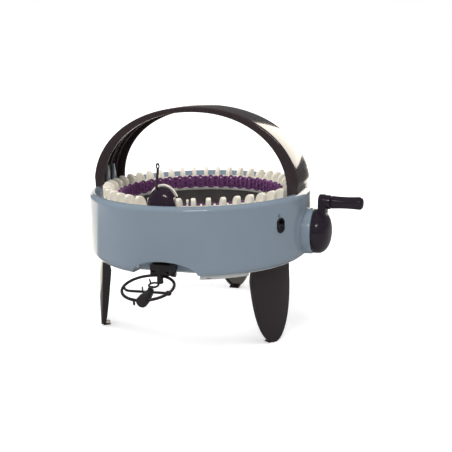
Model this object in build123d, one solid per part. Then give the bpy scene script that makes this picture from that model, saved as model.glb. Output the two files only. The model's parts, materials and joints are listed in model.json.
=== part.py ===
"""Hand-cranked circular knitting mill: 44 latch needles in a turning drum.

Millimetres, +Z up. The origin is on the drum's axis at the lower mouth of the throat, +X points
along the crank shaft and -Y to the yarn feeder. The floor is foot_drop below the origin.
"""
from build123d import *
import math
import os

# ---- needle drum and throat -------------------------------------------------
needle_count = 44
throat_radius = 97.0
skirt_wall = 3.5
skirt_height = 55.7
skirt_flange = 7.0          # width of the foot flange that is screwed to the pan
skirt_flange_height = 2.4
running_gap = 0.3           # between a turning part and the part that guides it
drum_setback = 1.0          # the drum's bore stands this far back from the throat
drum_wall = 8.0
drum_head = 13.0            # drum wall above the skirt's rim
drum_tail = 4.0             # drum wall that laps down over the skirt
drum_flange = 4.0
drum_flange_height = 2.0

# ---- crown of fins ----------------------------------------------------------
crown_width = 20.5
crown_height = 4.0
fin_height = 11.5
fin_shoulder = 8.5          # height of the fin's upright outer edge
fin_thickness = 5.0
fin_inset = 0.5             # fin stands back from the crown's outer edge
fin_length = 13.5
fin_phase = -64.7           # angle of the first fin

# ---- latch needles ----------------------------------------------------------
needle_depth = 2.5          # radial size of the shank
needle_width = 2.2
needle_slack = 0.2
needle_stick_out = 2.5      # hook above the crown's floor when the needle is down
butt_length = 1.8
butt_height = 2.5
butt_rise = 1.7             # butt above the needle's lower end
lift_low = 5.5
lift_high = 7.5

# ---- cam ring ---------------------------------------------------------------
cam_gap = 0.7               # needle butts stop this far short of the cam
cam_wall = 5.0
cam_groove = 3.0
cam_clear = 1.0             # cam ring above the drum's flange and below the crown
cam_flange_height = 2.5
cam_play = 0.4
feeder_needle_angle = -77.0 # first needle that stands up beside the feeder

# ---- gear train -------------------------------------------------------------
ring_teeth = 88
pinion_teeth = 12
shaft_height = 30.0         # crank shaft axis above the throat's lower mouth
gear_radius = 115.0         # radius at which the tooth sizes are stated
gear_inner = 107.0
gear_outer = 121.5
pressure_angle = 22.5
addendum_share = 0.75       # of the module
dedendum_share = 1.0
backlash = 0.36

# ---- crank shaft ------------------------------------------------------------
shaft_radius = 4.0
shaft_flat = 3.2            # flat of the D section, from the axis
shaft_clearance = 0.05
press_gap = 0.02
bush_wall = 3.0
bush_flange = 2.5
bush_flange_height = 1.5
bush_seat_gap = 0.02
inner_bush_length = 5.0
inner_boss_wall = 3.0

# ---- body shell -------------------------------------------------------------
body_radius = 135.0
body_bulge = 0.5            # the wall's middle stands proud of its ends
shell_wall = 2.8
shell_bottom = 2.0
edge_draw = 5.0             # bottom edge drawn in
edge_height = 9.0
rim_rise = 5.0              # lip above the crown's floor
rim_gap = 1.0               # collar to the turning crown
collar_wall = 2.2
shoulder = 6.0              # size of the shoulder's rounding
lip_flat = 1.6
boss_radius = 4.0
boss_height = 11.0
boss_circle = 122.5         # circle of the bosses that hold the pan
pan_boss_count = 5
pan_boss_phase = 30.0
crank_boss_radius = 27.0
crank_boss_reach = 7.0      # collar for the crank in front of the wall
crank_boss_round = 2.0

# ---- front recess -----------------------------------------------------------
recess_angle = -88.0
recess_half_width = 40.0
recess_height = 16.5
recess_depth = 24.0
recess_taper = 5.0
recess_wall = 2.2

# ---- lower pan and legs -----------------------------------------------------
pan_height = 2.4
fit_gap = 0.3
pod_start = -70.5
pod_sweep = 25.0
pod_depth = 4.0
pod_inner = 108.0
pod_outer = 128.0
pod_slot_angle = -66.0
foot_drop = 88.0
leg_angles = (90.0, 210.0, 330.0)
leg_names = ("back", "front_left", "front_right")
leg_half_width = 28.5
leg_outline_top = 5.0       # where the outline is widest, above the throat's lower mouth
leg_outline_extra = 1.0     # outline runs this far past the floor, which cuts the sole flat
leg_outline_power = 2.65
leg_radius_top = 126.5
leg_radius_foot = 129.0
leg_bow = 0.8
leg_thickness_top = 6.0
leg_thickness_foot = 4.0
leg_lip = 7.0
leg_lip_height = 2.6
leg_hinge_radius = 115.0
leg_hinge_drop = 4.5
leg_top_gap = 0.8
knuckle_radius = 4.0
knuckle_half_length = 11.7
ear_thickness = 4.0
leg_pin_radius = 2.0

# ---- carrying handle --------------------------------------------------------
handle_half_span = 130.0
handle_rise = 97.0
handle_inner_half_span = 116.3
handle_inner_rise = 91.0
handle_power = 2.1
handle_inner_power = 2.2
handle_half_depth = 30.0
handle_top_half_depth = 23.5
handle_wall = 3.0
handle_rib = 2.4
lug_inner_edge = 3.0
lug_width = 12.0
lug_height = 28.0
lug_thickness = 3.0
lug_gap = 0.4

# ---- yarn feeder ------------------------------------------------------------
feeder_x = 0.4
feeder_y = -113.5
feeder_half_width = 18.2
feeder_half_depth = 14.6
feeder_height = 24.0
feeder_wall = 2.4
feeder_back = 4.9           # hood's open back, behind its middle
feeder_fin_gap = 1.3
guard_thickness = 2.2
guard_rise = 3.4
guard_depth = 3.4
rod_radius = 1.4
rod_foot = (-5.4, -121.5, 82.0)
rod_tip = (-1.6, -120.5, 117.0)
rod_eye_height = 7.0
rod_eye_width = 4.6
rod_eye_hole = 1.7

# ---- yarn tensioner ---------------------------------------------------------
tension_x = -5.0
tension_y = -150.1
tension_z = -6.8
tension_tilt = 11.3
tension_radius = 28.1
wire_radius = 1.6
bar_radius = 1.4
bar_offset = 8.0
hinge_arm = 6.0
hinge_x = 1.6
hinge_radius = 2.6
hinge_half_length = 6.7
hinge_pin_radius = 1.5
hinge_side_gap = 0.3
bracket_cheek = 4.4
bracket_top = 14.0
bracket_under = 3.0
bracket_front = -133.2
plug_radius = 3.5
plug_drop = 8.0
plug_y = -129.3
sleeve_x = 6.4              # from the ring's centre, along the hinge
sleeve_radius_bar = 4.4
sleeve_radius_end = 5.8
sleeve_start = 11.0
sleeve_end = 22.8
end_boss_radius = 6.3
end_boss_reach = 32.0
axle_radius = 1.5
eyelet_radius = 5.2
eyelet_wire = 1.1
eyelet_y = 1.3
eyelet_lift = 3.0

# ---- selector ---------------------------------------------------------------
selector_angle = -28.5
selector_height = 49.2
selector_half_width = 5.65
selector_half_height = 8.5
selector_bezel = 1.5
selector_travel = 5.0
selector_gap = 0.3
selector_proud = 0.8
dimple_radius = 1.25
dimple_angle = -29.7
dimple_height = 60.4

# ---- crank ------------------------------------------------------------------
dome_radius = 26.0
dome_gap = 0.6
dome_straight = 5.0
dome_rise = 14.0
arm_length = 35.0
arm_thickness = 9.0
arm_half_width_top = 8.0
arm_half_width_foot = 12.0
eye_radius = 9.0
arm_setback = 4.5           # arm's inner face from the dome's inner face
eye_length = 14.0           # the eye's boss reaches out to the grip
grip_radius = 7.5
grip_waist = 6.9
grip_length = 37.0
grip_gap = 0.5
grip_pin_radius = 3.0
grip_pin_head = 4.4

# ---- knitted band -----------------------------------------------------------
band_gap = 0.5
band_thickness = 2.5
band_top_gap = 0.6
band_height = 12.4
band_scallops = 22
band_scallop_depth = 2.2

# ---- screws -----------------------------------------------------------------
screw_radius = 1.5
screw_head_radius = 3.0
screw_head_height = 1.6
screw_gap = 0.1
screw_length = 9.0
corner_post_radius = 3.4
corner_post_drop = 4.0      # posts of the rim's screws reach this far below its wall
corner_post_rise = 9.0      # and this far above the rim

# ---- derived ----------------------------------------------------------------
skirt_outer = throat_radius + skirt_wall
drum_inner = throat_radius + drum_setback
drum_outer = drum_inner + drum_wall
drum_step = skirt_height + running_gap
drum_top = drum_step + drum_head
drum_bottom = drum_step - drum_tail
flange_top = drum_bottom + drum_flange_height
crown_outer = drum_inner + crown_width
crown_top = drum_top + crown_height
fin_top = crown_top + fin_height
pitch_angle = 360.0 / needle_count
needle_phase = fin_phase + pitch_angle / 2
needle_outer = drum_outer - 0.5
needle_inner = needle_outer - needle_depth
needle_foot = flange_top + 0.8
needle_top = crown_top + needle_stick_out
butt_outer = needle_outer + butt_length
butt_bottom = needle_foot + butt_rise
butt_top = butt_bottom + butt_height
cam_inner = butt_outer + cam_gap
cam_outer = cam_inner + cam_wall
cam_bottom = flange_top + cam_clear
cam_top = drum_top - cam_clear
collar_inner = crown_outer + rim_gap
collar_outer = collar_inner + collar_wall
shell_top = crown_top + rim_rise
wall_end = body_radius - body_bulge
shell_inner = wall_end - shell_wall
bottom_outer = body_radius - edge_draw
bottom_inner = bottom_outer - shell_wall + 0.4
pan_outer = bottom_inner - fit_gap
lip_outer = wall_end - shoulder
lip_inner = lip_outer - lip_flat
corner_low = shell_top - shell_wall - corner_post_drop
crank_face = body_radius + crank_boss_reach
dome_start = crank_face + dome_gap
dome_end = dome_start + dome_straight + dome_rise
arm_start = dome_start + arm_setback
arm_end = arm_start + arm_thickness
eye_height = shaft_height + arm_length
grip_start = arm_start + eye_length + grip_gap
grip_end = grip_start + grip_length
bush_outer = shaft_radius + bush_wall
inner_bush_start = skirt_outer + 0.5
inner_bush_end = inner_bush_start + inner_bush_length
bush_start = gear_outer + 1.0
sole = -foot_drop
pitch_rise = gear_radius * pinion_teeth / ring_teeth
module = 2 * pitch_rise / pinion_teeth
addendum = addendum_share * module
dedendum = dedendum_share * module
hinge_reach = tension_radius + hinge_arm

BOTTOM = (Align.CENTER, Align.CENTER, Align.MIN)


# ---- helpers ----------------------------------------------------------------
def disc(radius, low, high, x=0.0, y=0.0):
    """Upright cylinder between two heights."""
    return Pos(x, y, low) * Cylinder(radius, high - low, align=BOTTOM)


def tube(inner, outer, low, high):
    """Upright ring between two heights."""
    return disc(outer, low, high) - disc(inner, low, high)


def block(x0, x1, y0, y1, z0, z1):
    """Box between two corners."""
    middle = Pos((x0 + x1) / 2, (y0 + y1) / 2, (z0 + z1) / 2)
    return middle * Box(x1 - x0, y1 - y0, z1 - z0)


def turned(*outline):
    """Ring turned about the drum's axis from (radius, height) corners."""
    corners = [(radius, 0, height) for radius, height in outline]
    return revolve(make_face(Polyline(*corners, close=True)), Axis.Z)


def rod_between(start, end, radius):
    """Round bar from one point to another."""
    axis = Vector(*end) - Vector(*start)
    plane = Plane(origin=start, z_dir=axis)
    return plane * Cylinder(radius, axis.length, align=BOTTOM)


def along_x(radius, x0, x1, z=shaft_height, y=0.0):
    """Round bar parallel to the crank shaft."""
    return rod_between((x0, y, z), (x1, y, z), radius)


def along_y(radius, y0, y1, x, z):
    """Round bar parallel to Y."""
    return rod_between((x, y0, z), (x, y1, z), radius)


def around(angle, shape):
    """Shape made at +X, turned to an angle about the drum's axis."""
    return Rot(0, 0, angle) * shape


def screw(length=screw_length):
    """Flush screw with its head's face at z = 0 and its shank upwards."""
    head = disc(screw_head_radius, 0, screw_head_height)
    return head + disc(screw_radius, 0, length)


def screw_hole(length=screw_length):
    """Room for a flush screw."""
    head = disc(screw_head_radius + screw_gap, -1, screw_head_height + screw_gap)
    return head + disc(screw_radius + screw_gap, 0, length + screw_gap)


# ---- throat, drum and crown -------------------------------------------------
def inner_skirt():
    """Fixed tube of the throat, with its foot flange and the shaft's inner boss."""
    flange_outer = skirt_outer + skirt_flange
    skirt = tube(throat_radius, skirt_outer, 0, skirt_height)
    skirt += tube(skirt_outer - 1, flange_outer, pan_height, pan_height + skirt_flange_height)
    boss_radius_here = bush_outer + inner_boss_wall
    boss = along_x(boss_radius_here, throat_radius + 2, inner_bush_end)
    rib_low = pan_height + 1
    boss += block(throat_radius + 2, inner_bush_end, -1.5, 1.5, rib_low, shaft_height - 4)
    boss -= disc(throat_radius + 1, 0, skirt_height)
    skirt += boss
    skirt -= along_x(bush_outer + bush_seat_gap, inner_bush_start, inner_bush_end + 1)
    for angle in skirt_screw_angles():
        skirt -= around(angle, Pos(skirt_screw_circle(), 0, 0) * screw_hole(skirt_screw_length()))
    return skirt


def skirt_screw_circle():
    return skirt_outer + skirt_flange / 2


def skirt_screw_length():
    return pan_height + skirt_flange_height - 0.4


def skirt_screw_angles():
    return [45.0, 135.0, 225.0, 315.0]


def needle_slots(low, high):
    """Room for every needle's shank, open to the drum's outside."""
    inner = needle_inner - needle_slack
    half = needle_width / 2 + needle_slack
    slot = block(inner, drum_outer + 1, -half, half, low, high)
    return [around(needle_phase + k * pitch_angle, slot) for k in range(needle_count)]


def needle_cylinder():
    """Drum with an upright slot for each needle, stepped to run on the skirt's rim."""
    lap_inner = skirt_outer + running_gap
    flange_outer = drum_outer + drum_flange
    drum = turned(
        (lap_inner, drum_bottom),
        (flange_outer, drum_bottom),
        (flange_outer, flange_top),
        (drum_outer, flange_top),
        (drum_outer, drum_top),
        (drum_inner, drum_top),
        (drum_inner, drum_step),
        (lap_inner, drum_step),
    )
    return drum - needle_slots(flange_top, drum_top + 1)


def fin_outline():
    """One fin seen from its side: upright outside, rounded top, long inner slope."""
    outer = crown_outer - fin_inset
    inner = outer - fin_length
    base = crown_top - 0.5
    shoulder_height = crown_top + fin_shoulder
    peak = outer - 3.0
    edges = [
        Line((inner, 0, base), (outer, 0, base)),
        Line((outer, 0, base), (outer, 0, shoulder_height)),
        ThreePointArc((outer, 0, shoulder_height), (outer - 0.8, 0, fin_top - 0.9), (peak, 0, fin_top)),
        ThreePointArc(
            (peak, 0, fin_top),
            (inner + 0.36 * (peak - inner), 0, crown_top + 0.68 * fin_height),
            (inner, 0, crown_top + 1.5),
        ),
        Line((inner, 0, crown_top + 1.5), (inner, 0, base)),
    ]
    return make_face(Curve() + edges)


def needle_crown():
    """White ring of upright fins, one between each pair of needles."""
    crown = tube(drum_inner, crown_outer, drum_top, crown_top)
    fin = extrude(fin_outline(), fin_thickness / 2, dir=(0, 1, 0), both=True)
    crown += [around(fin_phase + k * pitch_angle, fin) for k in range(needle_count)]
    inner = needle_inner - needle_slack
    half = needle_width / 2 + needle_slack
    window = block(inner, drum_outer, -half, half, drum_top - 1, crown_top + 1)
    crown -= [around(needle_phase + k * pitch_angle, window) for k in range(needle_count)]
    return crown


def needle(lift=0.0):
    """Latch needle: shank with a butt for the cam, thin neck and a hook that opens outwards."""
    r0 = needle_inner
    r1 = needle_outer
    top = needle_top
    outline = [
        (r0, needle_foot),
        (r1, needle_foot),
        (r1, butt_bottom),
        (butt_outer, butt_bottom),
        (butt_outer, butt_top),
        (r1, butt_top),
        (r1, top - 6.5),
        (r0 + 1.7, top - 5.0),
        (r0 + 1.7, top - 2.4),
        (r0 + 2.3, top - 1.4),
        (r0 + 3.3, top - 1.4),
        (r0 + 3.6, top - 2.3),
        (r0 + 4.4, top - 2.1),
        (r0 + 4.0, top - 0.6),
        (r0 + 2.8, top),
        (r0 + 1.2, top - 0.4),
        (r0 + 0.3, top - 2.0),
        (r0 + 0.3, top - 5.0),
        (r0, top - 6.5),
    ]
    corners = [(radius, 0, height + lift) for radius, height in outline]
    face = make_face(Polyline(*corners, close=True))
    return extrude(face, needle_width / 2, dir=(0, 1, 0), both=True)


def raised_needles():
    """Index and lift of the needles that stand up beside the feeder."""
    first = round((feeder_needle_angle - needle_phase) / pitch_angle)
    return {
        "needle_a": (first, lift_low),
        "needle_b": (first - 1, lift_high),
        "needle_c": (first - 2, lift_low),
    }


def lowered_needles():
    """All needles that are down, as separate solids."""
    up = [index % needle_count for index, lift in raised_needles().values()]
    down = [k for k in range(needle_count) if k not in up]
    return [around(needle_phase + k * pitch_angle, needle()) for k in down]


def knitted_band():
    """Tube of knitting inside the drum, with a lower edge of shallow scallops."""
    outer = drum_inner - band_gap
    inner = outer - band_thickness
    top = crown_top - band_top_gap
    low = top - band_height
    band = tube(inner, outer, low, top)
    half_chord = math.pi * outer / band_scallops
    notch = Polyline(
        (0, -half_chord * 0.34, low - 1),
        (0, half_chord * 0.34, low - 1),
        (0, 0, low + band_scallop_depth),
        close=True,
    )
    cutter = Pos(inner - 2, 0, 0) * extrude(make_face(notch), band_thickness + 4, dir=(1, 0, 0))
    return band - [around(k * 360.0 / band_scallops, cutter) for k in range(band_scallops)]


# ---- cam ring ---------------------------------------------------------------
def cam_ring():
    """Fixed ring round the drum whose groove lifts the needles at the feeder."""
    flange_low = cam_top - cam_flange_height
    ring = tube(cam_inner, cam_outer, cam_bottom, cam_top)
    ring += tube(cam_outer - 1, collar_outer, flange_low, cam_top)
    tab = block(collar_outer - 3, cam_screw_circle() + boss_radius, -4, 4, flange_low, cam_top)
    ring += [around(angle, tab) for angle in cam_screw_angles()]
    floor = butt_bottom - cam_play
    roof = butt_top + cam_play
    groove_outer = cam_inner + cam_groove
    ring -= disc(groove_outer, floor, roof)
    slope = math.tan(math.radians(pitch_angle)) * cam_inner
    hump = Polyline(
        (-2.4 * slope, 0, floor),
        (-1.2 * slope, 0, floor + lift_low),
        (-0.4 * slope, 0, floor + lift_high),
        (0.4 * slope, 0, floor + lift_high),
        (1.2 * slope, 0, floor + lift_low),
        (2.4 * slope, 0, floor),
        (2.4 * slope, 0, roof),
        (1.2 * slope, 0, roof + lift_low),
        (0.4 * slope, 0, roof + lift_high),
        (-0.4 * slope, 0, roof + lift_high),
        (-1.2 * slope, 0, roof + lift_low),
        (-2.4 * slope, 0, roof),
        close=True,
    )
    pocket = Pos(0, -cam_inner + 14, 0) * extrude(make_face(hump), 30, dir=(0, -1, 0))
    pocket &= disc(groove_outer, cam_bottom, cam_top)
    ring -= Rot(0, 0, peak_angle() + 90) * pocket
    for angle in cam_screw_angles():
        ring -= around(angle, Pos(cam_screw_circle(), 0, flange_low) * screw_hole())
    return ring


def peak_angle():
    """Angle of the highest needle."""
    return needle_phase + raised_needles()["needle_b"][0] * pitch_angle


def cam_screw_circle():
    return collar_outer + 3.0


def cam_screw_angles():
    return [45.0, 135.0, 225.0, 315.0]


# ---- gears ------------------------------------------------------------------
def scaled_tooth(corners, inner, outer):
    """Straight tooth whose outline at gear_radius shrinks towards the shaft and drum axes' meeting point."""
    faces = []
    for radius in (inner, outer):
        k = radius / gear_radius
        points = [(radius, side * k, shaft_height + rise * k) for side, rise in corners]
        faces.append(make_face(Polyline(*points, close=True)))
    return loft(faces, ruled=True)


def ring_gear():
    """Crown gear under the drum, teeth down."""
    quarter_pitch = math.pi * gear_radius / ring_teeth / 2
    lean = math.tan(math.radians(pressure_angle))
    middle = quarter_pitch - backlash / 2
    tip = pitch_rise - addendum
    root = pitch_rise + dedendum
    seat = root + 0.8
    corners = [
        (-middle - lean * dedendum, root),
        (-middle - lean * dedendum, seat),
        (middle + lean * dedendum, seat),
        (middle + lean * dedendum, root),
        (middle - lean * addendum, tip),
        (-middle + lean * addendum, tip),
    ]
    tooth = scaled_tooth(corners, gear_inner, gear_outer)
    root_inner = shaft_height + root * gear_inner / gear_radius
    root_outer = shaft_height + root * gear_outer / gear_radius
    web = turned(
        (gear_inner, root_inner),
        (gear_outer, root_outer),
        (gear_outer, drum_bottom),
        (gear_inner, drum_bottom),
    )
    step = 360.0 / ring_teeth
    return web + [around((k + 0.5) * step, tooth) for k in range(ring_teeth)]


def involute(angle):
    """Involute function of a pressure angle in radians."""
    return math.tan(angle) - angle


def pinion_outline():
    """Corners (side, rise) of the pinion about its axis: three points of the flank at each side."""
    base = pitch_rise * math.cos(math.radians(pressure_angle))
    root = pitch_rise - dedendum
    middle = math.pi / 2 / pinion_teeth - backlash / 2 / pitch_rise
    spread = middle + involute(math.radians(pressure_angle))
    flank = []
    for radius in (base, pitch_rise, pitch_rise + addendum):
        flank.append((radius, spread - involute(math.acos(base / radius))))
    flank.insert(0, (root, flank[0][1] + 0.02))
    corners = []
    for k in range(pinion_teeth):
        centre = 2 * math.pi * k / pinion_teeth
        left = [(radius, centre - half) for radius, half in flank]
        right = [(radius, centre + half) for radius, half in reversed(flank)]
        corners += left + right
    return [(radius * math.sin(turn), radius * math.cos(turn)) for radius, turn in corners]


def pinion():
    """Bevel pinion on the crank shaft."""
    gear = scaled_tooth(pinion_outline(), gear_inner, gear_outer)
    return gear - d_bar(shaft_radius + press_gap, shaft_flat + press_gap, gear_inner - 1, gear_outer + 1)


def d_bar(radius, flat, x0, x1):
    """Round bar along the shaft with one flat."""
    bar = along_x(radius, x0, x1)
    return bar - block(x0 - 1, x1 + 1, -radius, radius, shaft_height - radius - 1, shaft_height - flat)


def crank_shaft():
    """Round shaft, flattened where the pinion and the crank arm sit."""
    start = inner_bush_start + 0.3
    end = arm_end - 1.0
    shaft = along_x(shaft_radius, start, end)
    flat_low = shaft_height - shaft_radius - 1
    flat_high = shaft_height - shaft_flat
    shaft -= block(gear_inner, gear_outer, -shaft_radius, shaft_radius, flat_low, flat_high)
    shaft -= block(dome_start, end + 1, -shaft_radius, shaft_radius, flat_low, flat_high)
    return shaft - along_x(screw_radius + screw_gap, end - screw_length - 1, end + 1)


def shaft_bush():
    """Flanged bush in the body's crank boss."""
    bush = along_x(bush_outer, bush_start, crank_face)
    bush += along_x(bush_outer + bush_flange, bush_start, bush_start + bush_flange_height)
    return bush - along_x(shaft_radius + shaft_clearance, bush_start - 1, crank_face + 1)


def shaft_bush_inner():
    """Plain bush in the skirt's boss."""
    bush = along_x(bush_outer, inner_bush_start, inner_bush_end)
    return bush - along_x(shaft_radius + shaft_clearance, inner_bush_start - 1, inner_bush_end + 1)


# ---- body shell -------------------------------------------------------------
def shell_outline():
    """Section of the shell: rounded bottom edge, barrelled wall, round shoulder, lip and inner cone."""
    low = shell_bottom
    mid_height = (low + shell_top) / 2
    wall_low = low + edge_height
    wall_high = shell_top - shoulder
    round_in = (1 - math.sqrt(0.5)) * shoulder
    cone_low = crown_top
    inner_cone_top = shell_top - shell_wall
    outer = [
        Line((bottom_inner, 0, low), (bottom_outer, 0, low)),
        ThreePointArc(
            (bottom_outer, 0, low),
            (wall_end - 0.28 * (wall_end - bottom_outer), 0, low + 0.42 * edge_height),
            (wall_end, 0, wall_low),
        ),
        ThreePointArc((wall_end, 0, wall_low), (body_radius, 0, mid_height), (wall_end, 0, wall_high)),
        ThreePointArc(
            (wall_end, 0, wall_high),
            (wall_end - round_in, 0, shell_top - round_in),
            (lip_outer, 0, shell_top),
        ),
        Line((lip_outer, 0, shell_top), (lip_inner, 0, shell_top)),
        Line((lip_inner, 0, shell_top), (collar_inner, 0, cone_low)),
        Line((collar_inner, 0, cone_low), (collar_inner, 0, cam_top)),
        Line((collar_inner, 0, cam_top), (collar_outer, 0, cam_top)),
    ]
    inner = Polyline(
        (collar_outer, 0, cam_top),
        (collar_outer, 0, cone_low - shell_wall + 0.6),
        (lip_inner + 0.8, 0, inner_cone_top),
        (lip_outer, 0, inner_cone_top),
        (shell_inner - 0.6, 0, wall_high + 1.6),
        (shell_inner, 0, wall_high),
        (shell_inner, 0, wall_low),
        (bottom_inner, 0, low + 3.0),
        (bottom_inner, 0, low),
    )
    return make_face(Curve() + outer + inner)


def recess_form(grow=0.0):
    """Tapered arch of the front recess, made at +X; a grown copy gives its wall."""
    mouth = body_radius + 3
    back = body_radius - recess_depth - grow
    outer = Ellipse(recess_half_width + grow, recess_height + grow)
    inner = Ellipse(recess_half_width - recess_taper + grow, recess_height - recess_taper + grow)
    centre = Pos(0, shell_bottom)
    form = loft([Plane.YZ.offset(back) * centre * inner, Plane.YZ.offset(mouth) * centre * outer])
    return around(recess_angle, form)


def handle_screw_places():
    """The four places under the handle's corners."""
    side = lug_inner_edge + lug_width + (handle_half_depth - handle_wall - lug_inner_edge - lug_width) / 2
    reach = math.sqrt((lip_inner - 1) ** 2 - side**2)
    return [(sx * reach, sy * side) for sx in (1, -1) for sy in (1, -1)]


def feeder_screw_places():
    """Two places under the feeder's foot."""
    return [(feeder_x + side, -math.sqrt((lip_inner - 1) ** 2 - side**2)) for side in (-9.0, 9.0)]


def body_shell():
    """Outer casing with the crank boss, the front recess, the bosses and the handle's lugs."""
    shell = revolve(shell_outline(), Axis.Z)
    cavity = disc(shell_inner + 0.5, shell_bottom, shell_top - shoulder)
    shell += recess_form(recess_wall) & disc(shell_inner + 0.5, shell_bottom, shell_top)
    boss = along_x(crank_boss_radius, body_radius - 14, crank_face)
    boss = fillet(boss.faces().sort_by(Axis.X)[-1].edges(), crank_boss_round)
    shell += boss - cavity
    shell += along_x(bush_outer + inner_boss_wall, bush_start + bush_flange_height, body_radius - 1)
    post = disc(boss_radius, pan_height, pan_height + boss_height, x=boss_circle)
    post += block(boss_circle, shell_inner + 0.5, -1.2, 1.2, pan_height + 2, pan_height + boss_height - 2)
    pan_angles = [pan_boss_phase + k * 360.0 / pan_boss_count for k in range(pan_boss_count)]
    shell += [around(angle, post) for angle in pan_angles]
    cam_post = disc(boss_radius, cam_top, crown_top + 0.5, x=cam_screw_circle())
    shell += [around(angle, cam_post) for angle in cam_screw_angles()]
    corner_posts = handle_screw_places() + feeder_screw_places()
    below_rim = body_envelope()
    shell += [disc(corner_post_radius, corner_low, shell_top, x, y) & below_rim for x, y in corner_posts]
    shell += [handle_lug(sx, sy) for sx in (1, -1) for sy in (1, -1)]
    shell -= recess_form()
    shell -= along_x(bush_outer + bush_seat_gap, bush_start, crank_face + 1)
    for angle in pan_angles:
        shell -= around(angle, Pos(boss_circle, 0, 0) * screw_hole())
    for angle in cam_screw_angles():
        place = Pos(cam_screw_circle(), 0, cam_top - cam_flange_height)
        shell -= around(angle, place * screw_hole(cam_screw_length()))
    for x, y in corner_posts:
        shell -= Pos(x, y, corner_low) * screw_hole(corner_screw_length())
    shell -= around(selector_angle, selector_opening(selector_half_width, selector_half_height))
    dimple = along_x(dimple_radius, body_radius - 1.2, body_radius + 2, dimple_height)
    return shell - around(dimple_angle, dimple)


def cam_screw_length():
    return cam_flange_height + 4.0


def corner_screw_length():
    return shell_wall + 8.0


def handle_lug(sx, sy):
    """Pointed tongue on the rim that the handle's foot slides over."""
    x0 = collar_inner + 0.4
    base = crown_top + 0.4
    y0 = lug_inner_edge
    y1 = lug_inner_edge + lug_width
    tip = y0 + 0.4 * lug_width
    outline = Polyline(
        (x0, y0, base),
        (x0, y1, base),
        (x0, tip + 1.2, base + lug_height),
        (x0, tip - 1.2, base + lug_height),
        close=True,
    )
    lug = extrude(make_face(outline), lug_thickness, dir=(1, 0, 0))
    if sx < 0:
        lug = mirror(lug, Plane.YZ)
    if sy < 0:
        lug = mirror(lug, Plane.XZ)
    return lug


def body_envelope():
    """What stands below the handle and the feeder: the rim's lip and cone, filled."""
    return turned(
        (collar_inner - 0.3, cam_top),
        (body_radius + 5, cam_top),
        (body_radius + 5, shell_top),
        (lip_inner, shell_top),
        (collar_inner - 0.3, crown_top),
    )


# ---- lower pan --------------------------------------------------------------
def lower_pan():
    """Plate that closes the body below, with a pod at the front and ears for the legs."""
    pan = tube(skirt_outer + fit_gap, pan_outer, 0, pan_height)
    pod_profile = Polyline(
        (pod_inner, 0, 0.5),
        (pod_inner + 1.5, 0, -pod_depth),
        (pod_outer - 3.5, 0, -pod_depth),
        (pod_outer - 1.0, 0, -pod_depth + 1.5),
        (pod_outer - 0.4, 0, -0.6),
        (pod_outer - 0.9, 0, 0.5),
        close=True,
    )
    pod = revolve(make_face(pod_profile), Axis.Z, revolution_arc=pod_sweep)
    slot = block(pod_outer - 8, pod_outer + 1, -2.2, 2.2, -2.6, -1.2)
    pan += around(pod_start, pod)
    pan -= around(pod_slot_angle, slot)
    for angle in leg_angles:
        pan += around(angle, hinge_ears())
    pan -= recess_form(recess_wall + fit_gap)
    for k in range(pan_boss_count):
        angle = pan_boss_phase + k * 360.0 / pan_boss_count
        pan -= around(angle, Pos(boss_circle, 0, 0) * screw_hole())
    for angle in skirt_screw_angles():
        pan -= around(angle, Pos(skirt_screw_circle(), 0, 0) * screw_hole(skirt_screw_length()))
    return pan


def hinge_ears():
    """Two ears that carry a leg's pin, made at +X."""
    ears = []
    inner = knuckle_half_length + fit_gap
    for side in (1, -1):
        y0 = min(side * inner, side * (inner + ear_thickness))
        y1 = y0 + ear_thickness
        ear = along_y(knuckle_radius, y0, y1, leg_hinge_radius, -leg_hinge_drop)
        x0 = leg_hinge_radius - knuckle_radius
        ear += block(x0, leg_hinge_radius + knuckle_radius, y0, y1, -leg_hinge_drop, 0.5)
        ears.append(ear)
    reach = inner + ear_thickness
    room = leg_pin_radius + shaft_clearance
    return ears[0] + ears[1] - along_y(room, -reach, reach, leg_hinge_radius, -leg_hinge_drop)


def leg_pin():
    """Hinge pin of a leg, made at +X."""
    reach = knuckle_half_length + fit_gap + ear_thickness
    return along_y(leg_pin_radius, -reach, reach, leg_hinge_radius, -leg_hinge_drop)


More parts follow.
